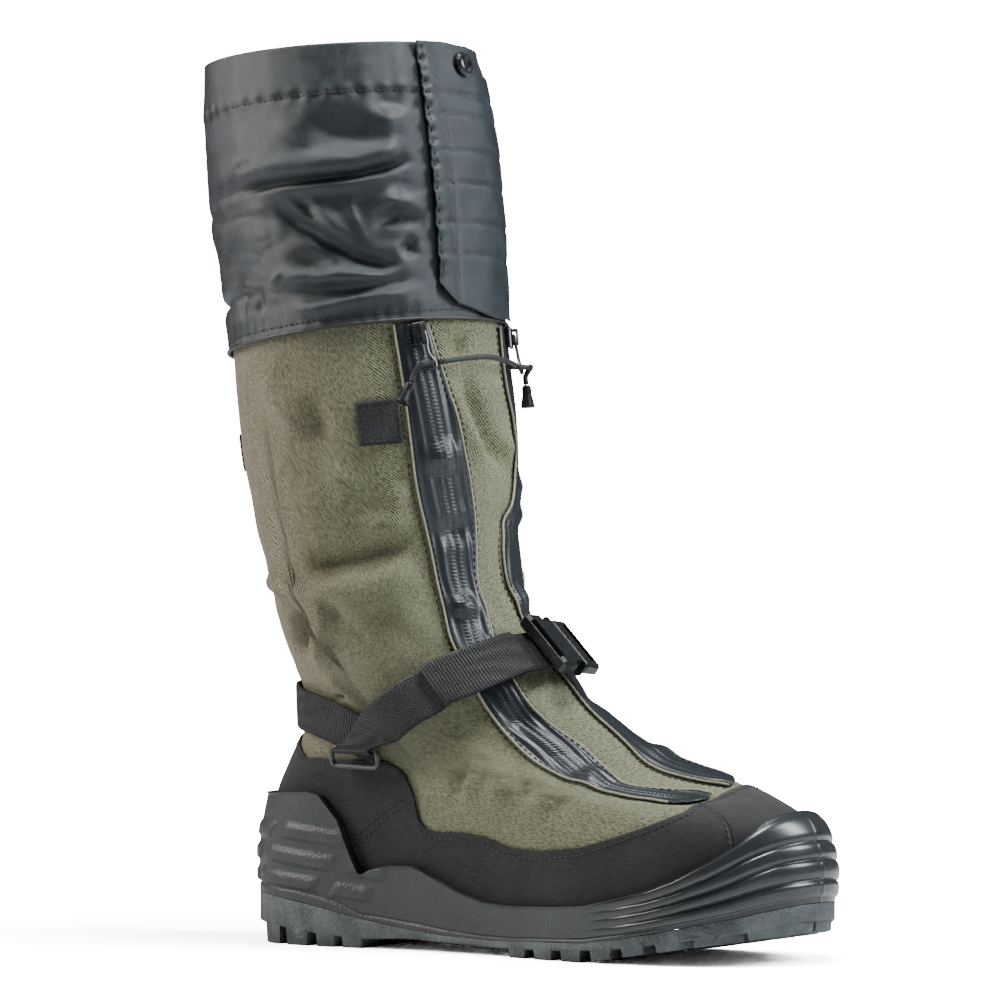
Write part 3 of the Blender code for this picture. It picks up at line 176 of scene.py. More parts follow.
# %% Coated nylon
NYLON_PITCH = 0.0008
nylon, tree, shader = new_finish("coated nylon taffeta", 0.46, 1.53)
cloth = add(tree, "UVMap", uv_map="cloth").outputs["UV"]
axes = add(tree, "SeparateXYZ", {"Vector": cloth})
threads = []
for axis in ("X", "Y"):
    turns = add(tree, "Math", {0: axes.outputs[axis], 1: TURN / NYLON_PITCH}, operation="MULTIPLY").outputs[0]
    threads.append(add(tree, "Math", {0: turns}, operation="SINE").outputs[0])
weave = add(tree, "Math", dict(enumerate(threads)), operation="MULTIPLY").outputs[0]
crinkle = add(tree, "TexNoise", {"Vector": cloth, "Scale": 75.0, "Detail": 5.0,
                                 "Distortion": 0.6}).outputs[0]
height = add(tree, "Math", {0: crinkle, 1: 5.0, 2: weave}, operation="MULTIPLY_ADD").outputs[0]
place = add(tree, "TexCoord").outputs["Object"]
warmth = add(tree, "SeparateXYZ", {"Vector": place}).outputs["X"]
warmth = add(tree, "MapRange", {"Value": warmth, "From Min": -0.055, "From Max": 0.005}).outputs[0]
plain = add(tree, "Mix", {0: warmth, 6: tone("#1d1b22"), 7: tone("#121a1f")}, data_type="RGBA").outputs[2]
rubbed = add(tree, "MapRange", {"Value": crinkle, "From Min": 0.35, "From Max": 0.75}).outputs[0]
colour = add(tree, "Mix", {0: rubbed, 6: plain, 7: tone("#1c2830")}, data_type="RGBA").outputs[2]
gloss = add(tree, "MapRange", {"Value": crinkle, "From Min": 0.3, "From Max": 0.7,
                               "To Min": 0.38, "To Max": 0.50}).outputs[0]
bump = add(tree, "Bump", {"Height": height, "Distance": 0.00010, "Strength": 0.6})
plug(shader, {"Base Color": colour, "Roughness": gloss, "Normal": bump.outputs[0]})
print("nylon ready")

# %% [markdown]
# Zip tape: knitted polyester under a matt polyurethane film. The film is smooth and slate grey, with a
# satin shine on every bulge. The coil's teeth press through it in two rows, and those are in the mesh.

# %% Film-coated zip tape
film, tree, shader = new_finish("polyurethane film on zip tape", 0.36, 1.52)
cloth = add(tree, "UVMap", uv_map="cloth").outputs["UV"]
drawn = add(tree, "Mapping", {"Vector": cloth, "Scale": (420, 22, 1)}).outputs[0]
streak = add(tree, "TexNoise", {"Vector": drawn, "Scale": 1.0, "Detail": 4.0},
             noise_dimensions="2D").outputs[0]
grain = add(tree, "TexNoise", {"Vector": cloth, "Scale": 1500.0, "Detail": 1.0},
            noise_dimensions="2D").outputs[0]
height = add(tree, "Math", {0: streak, 1: 3.0, 2: grain}, operation="MULTIPLY_ADD").outputs[0]
colour = add(tree, "Mix", {0: streak, 6: tone("#101417"), 7: tone("#222a30")}, data_type="RGBA").outputs[2]
gloss = add(tree, "MapRange", {"Value": grain, "From Min": 0.3, "From Max": 0.7,
                               "To Min": 0.30, "To Max": 0.46}).outputs[0]
bump = add(tree, "Bump", {"Height": height, "Distance": 0.00012, "Strength": 0.5})
plug(shader, {"Base Color": colour, "Roughness": gloss, "Normal": bump.outputs[0]})
print("film ready")

# %% [markdown]
# Webbing: black polypropylene, woven in plain weave with thick weft. The ribs run across the strap,
# 1.75 mm apart, and each rib is broken into short shining stitches of filament, 1.3 mm apart. Its colour
# follows that relief: painted shade, near black, in the grooves and painted highlight on the crests.

# %% Ribbed webbing
RIB_PITCH = 0.00175
PICK_PITCH = 0.0013
strapping, tree, shader = new_finish("polypropylene webbing", 0.55, 1.49)
cloth = add(tree, "UVMap", uv_map="cloth").outputs["UV"]
axes = add(tree, "SeparateXYZ", {"Vector": cloth})
rib = add(tree, "Math", {0: axes.outputs["Y"], 1: TURN / RIB_PITCH}, operation="MULTIPLY").outputs[0]
rib = add(tree, "Math", {0: rib}, operation="SINE").outputs[0]
pick = add(tree, "Math", {0: axes.outputs["X"], 1: TURN / PICK_PITCH}, operation="MULTIPLY").outputs[0]
pick = add(tree, "Math", {0: pick}, operation="SINE").outputs[0]
weave = add(tree, "Math", {0: pick, 1: 0.35, 2: rib}, operation="MULTIPLY_ADD").outputs[0]
weave = add(tree, "MapRange", {"Value": weave, "From Min": -1.2, "From Max": 1.2}).outputs[0]
# Painted shade and highlight: near black where the weave is low, paler grey where it is high.
colour = add(tree, "Mix", {0: weave, 6: tone("#010101"), 7: tone("#1a1b1d")}, data_type="RGBA").outputs[2]
bump = add(tree, "Bump", {"Height": weave, "Distance": 0.0008, "Strength": 1.0})
plug(shader, {"Base Color": colour, "Normal": bump.outputs[0]})
print("webbing ready")

# %% [markdown]
# Shell rubber: compression-moulded, dark grey. The mould's spark-eroded texture gives the heel and the
# sides a fine pebble of about 1 mm, while the toe's bumper is left satin smooth.

# %% Moulded rubber of the shell and the outsole
rubber, tree, shader = new_finish("moulded shell rubber", 0.42, 1.52)
place = add(tree, "TexCoord").outputs["Object"]
pebble = add(tree, "TexVoronoi", {"Vector": place, "Scale": 850.0}, feature="SMOOTH_F1").outputs["Distance"]
soft = add(tree, "TexNoise", {"Vector": place, "Scale": 40.0, "Detail": 3.0}).outputs[0]
along = add(tree, "SeparateXYZ", {"Vector": place}).outputs["X"]
rough_part = add(tree, "MapRange", {"Value": along, "From Min": 0.14, "From Max": 0.18,
                                    "To Min": 1.0, "To Max": 0.12}).outputs[0]
height = add(tree, "Math", {0: pebble, 1: rough_part}, operation="MULTIPLY").outputs[0]
colour = add(tree, "Mix", {0: soft, 6: tone("#1e2123"), 7: tone("#313538")}, data_type="RGBA").outputs[2]
gloss = add(tree, "MapRange", {"Value": rough_part, "To Min": 0.24, "To Max": 0.50}).outputs[0]
bump = add(tree, "Bump", {"Height": height, "Distance": 0.0008, "Strength": 0.4})
plug(shader, {"Base Color": colour, "Roughness": gloss, "Normal": bump.outputs[0]})

tread_rubber, tree, shader = new_finish("pebbled outsole rubber", 0.60, 1.52)
place = add(tree, "TexCoord").outputs["Object"]
pebble = add(tree, "TexVoronoi", {"Vector": place, "Scale": 620.0}, feature="SMOOTH_F1").outputs["Distance"]
dust = add(tree, "TexNoise", {"Vector": place, "Scale": 60.0, "Detail": 5.0}).outputs[0]
dust = add(tree, "MapRange", {"Value": dust, "From Min": 0.35, "From Max": 0.7}).outputs[0]
colour = add(tree, "Mix", {0: dust, 6: tone("#363b3e"), 7: tone("#565d60")}, data_type="RGBA").outputs[2]
bump = add(tree, "Bump", {"Height": pebble, "Distance": 0.0008, "Strength": 0.6})
plug(shader, {"Base Color": colour, "Normal": bump.outputs[0]})
print("rubbers ready")

# %% [markdown]
# Small hard parts: injection-moulded acetal for the buckle, the snap and the cord ends, and black
# enamelled zinc for the sliders, the pulls and the rings. Both are glossy. Handling leaves fine marks in
# the acetal's gloss, and chips show paler in the enamel. Thread, cord, hook tape, foam and the canvas's
# turned edge are matt, with a fine grain. All have two tones in a fine pattern, so one function makes them.
# On the cord and the hook tape the tones follow the relief: paler on the raised cells and near black in
# the hollows between them, which is painted shade.

# %% Plastic, enamel, thread, cord, hook tape and foam
GRAIN = "TexNoise"
LOOPS = "TexVoronoi"


def grained(name, roughness, ior, pattern, dark, pale, spread=None, shine=None, relief=None, **more):
    """A finish with two tones. pattern is its kind, scale and detail. Relief, a depth, goes inwards, and the
    second tone then lies in its hollows, as painted shade.
    """
    made, tree, shader = new_finish(name, roughness, ior, **more)
    kind, scale, detail = pattern
    settings = {"Vector": add(tree, "TexCoord").outputs["Object"], "Scale": scale, "Detail": detail}
    marks = add(tree, kind, settings).outputs[0]
    if spread:
        ends = {"From Min": spread[0], "From Max": spread[1]}
        marks = add(tree, "MapRange", {"Value": marks, **ends}).outputs[0]
    colour = add(tree, "Mix", {0: marks, 6: tone(dark), 7: tone(pale)}, data_type="RGBA").outputs[2]
    plug(shader, {"Base Color": colour})
    if shine:
        gloss = add(tree, "MapRange", {"Value": marks, "To Min": shine[0], "To Max": shine[1]}).outputs[0]
        plug(shader, {"Roughness": gloss})
    if relief:
        bump = add(tree, "Bump", {"Height": marks, "Distance": relief[0], "Strength": relief[1]}, invert=True)
        plug(shader, {"Normal": bump.outputs[0]})
    return made


acetal = grained("moulded black acetal", 0.22, 1.48, (GRAIN, 500.0, 3.0), "#101113", "#27292b",
                 shine=(0.16, 0.34))
enamel = grained("black enamelled zinc", 0.28, 1.50, (GRAIN, 900.0, 2.0), "#141517", "#3a3c3f",
                 spread=(0.3, 0.8))
thread = grained("bonded black thread", 0.50, 1.53, (GRAIN, 1800.0, 1.0), "#060607", "#1e1f21")
# Cord and hook tape: paler on the raised cells and near black in the hollows between them, which is painted
# shade.
braid = grained("braided elastic cord", 0.60, 1.50, (LOOPS, 1300.0, 0.0), "#222427", "#070708",
                relief=(0.0004, 0.6))
hooks = grained("nylon hook tape", 0.75, 1.53, (LOOPS, 1100.0, 0.0), "#191c20", "#060607",
                relief=(0.0008, 0.7))
foam = grained("felted foam footbed", 0.95, 1.45, (GRAIN, 700.0, 4.0), "#2c2c2c", "#4a4a49")
edging = grained("turned canvas edge", 0.85, 1.50, (GRAIN, 900.0, 2.0), "#4a4a3c", "#b4b298",
                 Sheen_Weight=0.1, Sheen_Roughness=0.6)
print("materials:", len(bpy.data.materials))

# %% [markdown]
# Everything soft lies on one form, the last. It is a stack of closed rings: nine round the foot and five
# round the shaft. A place on it is an angle in degrees (0 at the toe and shin, 180 at the heel, minus on
# the outer side) and a ring number. These are the boot's own sizes.

# %% Sizes of the last
SOLE_LENGTH = 0.340
HEEL_BACK = 0.0525
BALL_WIDTH = 0.119
HEEL_STACK = 0.027
TOE_SWING = 0.006
INSTEP_HEIGHT = 0.185
SHAFT_DIAMETER = 0.147
SHAFT_CENTRE = 0.023
SHAFT_LEAN = 0.125
COLLAR_FOOT = 0.3235
COLLAR_TOP = 0.475
SHELL_INSIDE = 0.0024
SHELL_WALL = 0.0037
SHELL_OUTSIDE = SHELL_INSIDE + SHELL_WALL
SHELL_FLOOR = 0.0055
GAP = 0.0003
COUNTER_HEIGHT = 0.082
HALF_WIDTH = BALL_WIDTH / 2 - SHELL_OUTSIDE

FOOT_RINGS = np.array((
    # back  front  back_up front_up heel  ankle waist ball  toe   roll
    (0.006, 0.984, 0.130, 0.150, 1.46, 0.82, 0.78, 1.18, 1.62, 0.00),
    (0.008, 0.984, 0.290, 0.270, 1.50, 0.87, 0.85, 1.18, 1.60, 0.00),
    (0.026, 0.966, 0.430, 0.370, 1.51, 0.91, 0.92, 1.12, 1.40, 0.00),
    (0.052, 0.908, 0.525, 0.432, 1.48, 0.94, 0.94, 1.03, 1.12, 0.08),
    (0.078, 0.835, 0.615, 0.464, 1.44, 0.98, 0.92, 0.94, 0.92, 0.26),
    (0.084, 0.722, 0.725, 0.515, 1.38, 1.04, 0.92, 0.88, 0.80, 0.34),
    (0.066, 0.640, 0.820, 0.600, 1.35, 1.11, 0.97, 0.86, 0.78, 0.28),
    (0.040, 0.540, 0.945, 0.750, 1.34, 1.18, 1.09, 0.96, 0.90, 0.12),
    (0.018, 0.430, 1.125, 1.000, 1.32, 1.27, 1.22, 1.18, 1.12, 0.00),
))
SHAFT_RINGS = np.array((
    # up    depth  width  square
    (0.280, 0.985, 0.985, 1.00),
    (0.475, 0.990, 0.985, 1.00),
    (0.665, 1.030, 1.015, 1.00),
    (0.830, 1.040, 1.020, 0.80),
    (1.000, 0.985, 0.950, 0.50),
))
TOP_RING = len(FOOT_RINGS) + len(SHAFT_RINGS) - 1

# Columns: share of the sole's length, parting line as a share of the heel's height
PARTING = np.array((
    (0.00, 1.000), (0.03, 0.995), (0.06, 0.975), (0.14, 0.860), (0.25, 0.590), (0.34, 0.430), (0.41, 0.345),
    (0.49, 0.305), (0.55, 0.305), (0.70, 0.380), (0.77, 0.500), (0.85, 0.690), (0.93, 0.900),
    (1.00, 1.160)))
# Columns: share of the sole's length, height as a share of the counter's
SHELL_RIM = np.array((
    (-0.05, 0.940), (0.030, 0.950), (0.160, 1.000), (0.183, 0.985), (0.218, 0.825), (0.238, 0.600),
    (0.254, 0.470), (0.275, 0.515), (0.315, 0.548), (0.362, 0.548), (0.402, 0.478), (0.450, 0.395),
    (0.500, 0.338), (0.550, 0.325), (0.640, 0.335), (0.700, 0.352), (0.758, 0.405), (0.808, 0.462),
    (0.848, 0.530), (0.890, 0.630), (0.918, 0.720), (0.950, 0.860), (0.968, 0.905), (1.050, 0.930)))
RAND_EDGE = np.array((
    (-0.05, 1.370), (0.080, 1.370), (0.110, 1.290), (0.140, 1.215), (0.180, 1.220), (0.308, 1.215),
    (0.338, 1.160), (0.356, 1.070), (0.362, 0.900), (0.370, 0.810), (0.395, 0.770), (0.455, 0.775),
    (0.500, 0.750), (0.545, 0.690), (0.605, 0.678), (0.685, 0.710), (0.755, 0.790), (0.805, 0.865),
    (0.840, 0.930), (0.848, 1.600), (1.050, 1.700)))
TOE_CAP_SEAM = 29.0
print("rings:", TOP_RING + 1)

# %% [markdown]
# The rings are joined by a smooth curve that passes through every one of them, so a point can be asked
# for at any angle and height. Whole arrays of points are worked out at once, which keeps it quick.

# %% Points on the last
def curve_through(points, at):
    """Points at real-numbered places at[n] on a smooth curve through points[n, k]."""
    last = points.shape[1] - 1
    i = np.clip(at.astype(int), 0, last - 1)
    t, first, final = at - i, i == 0, i + 2 > last
    if points.ndim == 3:
        t, first, final = t[:, None], first[:, None], final[:, None]
    n = np.arange(len(at))
    b, c = points[n, i], points[n, i + 1]
    a = np.where(first, 2 * b - c, points[n, np.maximum(i - 1, 0)])
    d = np.where(final, 2 * c - b, points[n, np.minimum(i + 2, last)])
    square, cube = 2 * a - 5 * b + 4 * c - d, 3 * b - a - 3 * c + d
    return (2 * b + (c - a) * t + square * t ** 2 + cube * t ** 3) / 2


def run_along(row):
    """How far each point of a row is from its start, along the row."""
    return np.concatenate(([0], np.cumsum(np.linalg.norm(np.diff(row, axis=0), axis=1))))


def pairs(degrees, ring):
    """Angles and ring numbers as two rows of one length."""
    return [a.ravel() for a in np.broadcast_arrays(np.asarray(degrees, float), np.asarray(ring, float))]


def along_of(x):
    return (x + HEEL_BACK) / SOLE_LENGTH


def parting(x):
    return HEEL_STACK * np.interp(along_of(x), PARTING[:, 0], PARTING[:, 1])


def feather(x):
    return parting(x) + SHELL_FLOOR + 3 * GAP


def smooth(degrees, ring):
    """Points of the last at arrays of angles and ring numbers."""
    degrees, ring = pairs(degrees, ring)
    turn = np.radians(degrees)
    share = (1 + np.cos(turn)) / 2
    stack = []
    for k, row in enumerate(FOOT_RINGS):
        x = (row[0] + share * (row[1] - row[0])) * SOLE_LENGTH - HEEL_BACK
        fullness = curve_through(np.broadcast_to(row[4:9], (len(turn), 5)), share * 4)
        across = np.sin(turn) * fullness * HALF_WIDTH
        z = (row[2] + share * (row[3] - row[2])) * INSTEP_HEIGHT + row[9] * across * share ** 2
        z = feather(x) if k == 0 else z
        tip = SOLE_LENGTH - HEEL_BACK
        stack.append(np.stack((x, TOE_SWING * np.maximum(x / tip, 0) ** 2 + across, z), 1))
    for up, depth, width, square in SHAFT_RINGS:
        height = INSTEP_HEIGHT + up * (COLLAR_TOP - INSTEP_HEIGHT)
        forward = np.cos(turn) * SHAFT_DIAMETER / 2 * depth
        x = SHAFT_CENTRE - SHAFT_LEAN * (height - INSTEP_HEIGHT) + forward
        stack.append(np.stack((x, np.sin(turn) * SHAFT_DIAMETER / 2 * width,
                               height + SHAFT_LEAN * square * forward), 1))
    return curve_through(np.stack(stack, 1), np.clip(ring, 0, TOP_RING))


def outward(degrees, ring):
    """The directions straight out of the last. Near the sole they turn level."""
    degrees, ring = pairs(degrees, ring)
    up = smooth(degrees, np.minimum(ring + 0.02, TOP_RING)) - smooth(degrees, np.maximum(ring - 0.02, 0))
    around = smooth(degrees + 0.5, ring) - smooth(degrees - 0.5, ring)
    out = np.cross(around, up)
    out /= np.linalg.norm(out, axis=1, keepdims=True)
    low = np.clip(ring / 0.6, 0, 1)
    out[:, 2] *= low
    return out / np.linalg.norm(out, axis=1, keepdims=True)


def ring_where(degrees, below, lowest=0.0, highest=TOP_RING):
    """The ring numbers where meridians leave the region that below(points) tells."""
    low = np.full(len(degrees), float(lowest))
    high = np.full(len(degrees), float(highest))
    for _ in range(20):
        middle = (low + high) / 2
        inside = below(smooth(degrees, middle))
        low, high = np.where(inside, middle, low), np.where(inside, high, middle)
    return low


def under(table):
    """Tells which points lie under an edge, given as heights along the sole."""
    def below(points):
        return points[:, 2] < COUNTER_HEIGHT * np.interp(along_of(points[:, 0]), table[:, 0], table[:, 1])
    return below


def shaft_ring_at(z):
    heights = INSTEP_HEIGHT + SHAFT_RINGS[:, 0] * (COLLAR_TOP - INSTEP_HEIGHT)
    return np.interp(z, heights, np.arange(len(FOOT_RINGS), TOP_RING + 1))


def ease(t, start=0.0, end=1.0):
    t = np.clip((np.asarray(t, float) - start) / (end - start), 0, 1)
    return t * t * (3 - 2 * t)


CIRCLE = np.arange(-180, 541, 1.0)
RAND_TOP = ring_where(CIRCLE, under(RAND_EDGE), 0.05, 7.5)
RIM_TOP = ring_where(CIRCLE, under(SHELL_RIM), 0.0, 4.0)
FOOT_RING = float(shaft_ring_at(COLLAR_FOOT))


def rand_top(degrees):
    return np.interp(degrees, CIRCLE, RAND_TOP)


print("collar starts at ring", round(FOOT_RING, 2))

# %% [markdown]
# Creases are placed as soft troughs and ridges. Each is a height and a width in millimetres and
# a few places that its line runs through. The outer side follows the photograph, and the hidden side
# takes the same creases turned round, a little weaker and shifted, as cloth on a round shaft would.

# %% Creases of the canvas and the collar
CANVAS_CREASES = (
    # height width, places
    (2.4, 8.0, (-103, 9.85), (-100, 9.5), (-90, 9.25), (-81, 9.05)),
    (-2.2, 8.0, (-85, 9.5), (-80, 9.25), (-78, 9.0), (-80, 8.85)),
    (1.6, 5.0, (-80, 8.8), (-70, 8.7), (-61, 8.65)),
    (1.6, 6.0, (-44, 8.7), (-50, 8.57), (-55, 8.5)),
    (2.4, 6.0, (-69, 8.38), (-57, 8.42), (-46, 8.43), (-41, 8.4)),
    (-4.0, 6.5, (-41, 8.36), (-55, 8.3), (-74, 8.2), (-90, 8.1), (-99, 8.0)),
    (3.2, 8.0, (-99, 7.93), (-90, 7.83), (-69, 7.92), (-50, 8.12), (-43, 8.2)),
    (-1.6, 6.0, (-80, 7.84), (-99, 7.52)),
    (3.4, 5.5, (-140, 7.75), (-112, 7.8), (-101, 7.68), (-100, 7.5), (-110, 7.0), (-124, 6.15)),
    (-5.5, 6.0, (-108, 7.6), (-115, 7.3), (-124, 6.85), (-136, 6.3)),
    (2.2, 3.5, (-127, 6.05), (-117, 6.1), (-112, 5.8), (-110, 5.3)),
    (-1.8, 4.5, (-117, 5.85), (-118, 5.5)),
    (-2.0, 4.0, (-83, 5.0), (-92, 3.4), (-98, 1.9)),
    (1.6, 4.0, (-86, 4.6), (-95, 2.0)),
    (1.5, 5.0, (-75, 4.8), (-89, 1.9)),
    (-1.6, 4.5, (-69, 4.75), (-82, 2.0)),
    (1.3, 5.0, (-62, 4.9), (-78, 1.9)),
    (-1.3, 5.0, (-65, 3.6), (-73, 1.9)),
    (-3.0, 6.0, (-14, 9.5), (-7, 9.2), (1, 8.9), (18, 8.75)),
    (1.6, 6.0, (-19, 9.35), (-12, 8.97), (0, 8.75)),
    (-2.2, 7.0, (-19, 9.85), (-8, 9.65)),
    (2.0, 8.0, (-28, 8.95), (-27, 8.7)),
    (-1.4, 8.0, (-25, 8.5), (-24, 8.3)),
    (1.8, 8.0, (-24, 8.05), (-31, 7.75)),
    (1.4, 9.0, (-42, 5.2), (-40, 4.6)),
    (-1.6, 8.0, (-50, 6.6), (-35, 6.3)),
)
COLLAR_CREASES = (
    (3.2, 7.0, (-112, 11.68), (-90, 11.7), (-71, 11.67), (-53, 11.68), (-41, 11.74), (-27, 11.85)),
    (-3.4, 2.4, (-108, 11.50), (-90, 11.52), (-71, 11.5), (-53, 11.5), (-41, 11.56), (-27, 11.66)),
    (1.4, 3.5, (-100, 11.42), (-80, 11.44), (-60, 11.4), (-40, 11.46), (-28, 11.56)),
    (1.8, 10.0, (-99, 11.85), (-82, 11.97), (-67, 11.8)),
    (-2.6, 10.0, (-73, 12.13), (-53, 11.97), (-36, 11.85)),
    (2.2, 8.0, (-48, 12.12), (-36, 12.1), (-27, 12.03)),
    (-1.6, 4.5, (-46, 12.25), (-37, 12.29), (-26, 12.25)),
    (-3.2, 3.2, (-82, 11.38), (-75, 11.24), (-68, 11.02), (-65, 10.9)),
    (2.2, 4.5, (-84, 11.34), (-74, 11.15), (-64, 11.0), (-54, 10.8)),
    (-3.6, 4.5, (-90, 11.38), (-79, 11.08), (-67, 10.84), (-56, 10.65), (-45, 10.54), (-33, 10.5)),
    (1.1, 2.2, (-57, 11.34), (-55, 11.05), (-50, 10.72)),
    (-3.6, 4.5, (-50, 10.83), (-43, 11.0), (-37, 11.04), (-29, 10.97), (-25, 10.86)),
    (2.2, 4.5, (-50, 11.08), (-40, 11.2), (-32, 11.12), (-26, 11.02)),
    (-3.0, 4.0, (-39, 10.68), (-29, 10.71)),
    (2.6, 5.0, (-93, 10.54), (-71, 10.5), (-45, 10.44), (-30, 10.5)),
    (-2.0, 5.0, (-84, 10.68), (-62, 10.6)),
    (-2.6, 4.0, (-91, 10.43), (-71, 10.38), (-57, 10.36), (-45, 10.38), (-31, 10.38)),
    (2.4, 4.0, (-91, 10.3), (-76, 10.22), (-54, 10.25), (-41, 10.28), (-28, 10.3)),
    (-1.4, 3.4, (-111, 10.72), (-114, 10.1)),
    (-1.4, 3.0, (-99, 10.60), (-102, 10.08)),
    (1.6, 2.0, (-86, 10.62), (-94, 10.5)),
    (-2.4, 3.0, (-170, 10.44), (-150, 10.46), (-120, 10.48), (-96, 10.44)),
)

CREASE_TAPER = 0.020
MM = 0.001


def crease_lines(table, depth):
    """Each crease as a height, a width and a row of close points, and turned to the hidden side."""
    lines = []
    for height, width, *places in table:
        height *= depth
        places = np.array(places, float)
        at = np.linspace(0, len(places) - 1, 7 * (len(places) - 1) + 1)
        rows = [np.interp(at, np.arange(len(places)), places[:, k]) for k in (0, 1)]
        row = smooth(rows[0], rows[1])
        run = run_along(row)
        taper = min(CREASE_TAPER, run[-1] / 2)
        fade = ease(run, 0.0, taper) * ease(run[-1] - run, 0.0, taper)
        lines.append((height, width, row, fade))
        if rows[0].max() < -20:
            turned = smooth(-rows[0] * 0.94 - 8, rows[1] + 0.06)
            lines.append((height * 0.8, width * 1.15, turned, fade))
    return lines


def relief(points, lines):
    """How far each point stands out or lies in, in metres."""
    total = np.zeros(len(points))
    for height, width, row, fade in lines:
        reach = 4.2 * width * MM
        near = np.where(np.all((points > row.min(0) - reach) & (points < row.max(0) + reach), axis=1))[0]
        if len(near) == 0:
            continue
        start, step = row[:-1], np.diff(row, axis=0)
        spots = points[near][:, None]
        along = np.clip(((spots - start) * step).sum(2) / (step ** 2).sum(1), 0, 1)
        away = np.linalg.norm(spots - start - along[:, :, None] * step, axis=2)
        best = away.argmin(1)
        each = np.arange(len(near))
        shortest = away[each, best] / (width * MM)
        strength = np.interp(best + along[each, best], np.arange(len(row)), fade)
        total[near] += height * MM * strength * np.exp(-shortest ** 2)
    return total


CANVAS_LINES = crease_lines(CANVAS_CREASES, 2.2)
COLLAR_LINES = crease_lines(COLLAR_CREASES, 1.3)
print("creases:", len(CANVAS_LINES), "and", len(COLLAR_LINES))

# %% [markdown]
# Straps press the cloth flat and the zip's sliders hold it down, so creases are held low under them.
# The same two functions then tell every layer of cloth where it lies, and no layer cuts through another.

# %% How the canvas and the collar lie
# Columns: angle, ring
HEEL_STRAP = ((-113.0, 4.32), (-121.5, 4.53), (-127.1, 4.65), (-137.6, 4.74), (-156.0, 4.76),
              (-180.0, 4.78))
FRONT_STRAP = ((-120.2, 4.10), (-112.0, 4.60), (-102.0, 5.28), (-93.0, 5.83), (-83.0, 6.27), (-72.4, 6.59),
               (-62.2, 6.87), (-43.9, 7.14), (-22.2, 7.33), (-4.0, 7.38))
RING_BAR = ((-131.0, 3.95), (-109.4, 4.24))


def smooth_row(row, count):
    """A smooth run of count places through the given ones."""
    row = np.array(row, float)
    at = np.linspace(0, len(row) - 1, count)
    return curve_through(np.broadcast_to(row, (count, *row.shape)), at)


PRESSED = []
for row in (HEEL_STRAP, FRONT_STRAP):
    places = smooth_row(row, 40)
    PRESSED += [smooth(places[:, 0], places[:, 1]), smooth(-places[:, 0], places[:, 1])]
PRESSED = np.concatenate(PRESSED)
HELD = smooth([-33.0, 26.0], [9.87, 9.87])
CANVAS_SWELL = 0.0007
CANVAS_WRINKLE = 0.0011
ANKLE_RING = 7.7
DEEPEST = 0.0085
UNDER_STRAP = 0.0008


def nearest(points, marks):
    return np.min(np.linalg.norm(points[:, None] - marks[None], axis=2), axis=1)


def waves(points, size, seed):
    """A gentle unevenness from -1 to 1."""
    return np.array([noise.noise(Vector(p) / size + Vector((seed, 0, 0))) for p in points])


def pulled(degrees, ring, across, up, seed):
    """Fine creases from -1 to 1, drawn out round the boot and sharp at their bottoms."""
    turn = np.radians(degrees)
    rows = np.stack((np.cos(turn) / across, np.sin(turn) / across + seed, ring / up), 1)
    return np.array([2.2 * abs(noise.noise(Vector(p))) - 0.5 for p in rows])


def canvas_relief(degrees, ring):
    """How far the canvas stands out. The most creases are at the ankle."""
    points = smooth(degrees, ring)
    stands = relief(points, CANVAS_LINES) + CANVAS_SWELL * waves(points, 0.030, 3)
    ankle = 0.3 + 0.7 * np.exp(-(ring - ANKLE_RING) ** 2)
    stands = stands + CANVAS_WRINKLE * ankle * pulled(degrees, ring, 0.34, 0.55, 5)
    stands = np.maximum(stands, -DEEPEST)
    strap = ease(nearest(points, PRESSED), 0.012, 0.024)
    stands = np.minimum(stands, UNDER_STRAP + 0.0040 * strap)
    slider = ease(nearest(points, HELD), 0.014, 0.030)
    over_rand = ease(ring - rand_top(degrees), -0.9, 0.3)
    under_collar = 1 - ease(ring, 9.80, 9.98)
    return stands * slider * over_rand * under_collar


def on_canvas(degrees, ring, out):
    """Points at a height over the creased canvas."""
    degrees, ring = pairs(degrees, ring)
    return smooth(degrees, ring) + outward(degrees, ring) * (canvas_relief(degrees, ring) + out)[:, None]


print("pressed places:", len(PRESSED))

# %% [markdown]
# A layer of cloth starts as a flat grid. Each point of the grid is then moved to its place on the last,
# and the lengths along the grid's rows and columns are kept as a UV map in metres, so the weave keeps
# its size. Solidify gives the cloth its thickness on the inner side.

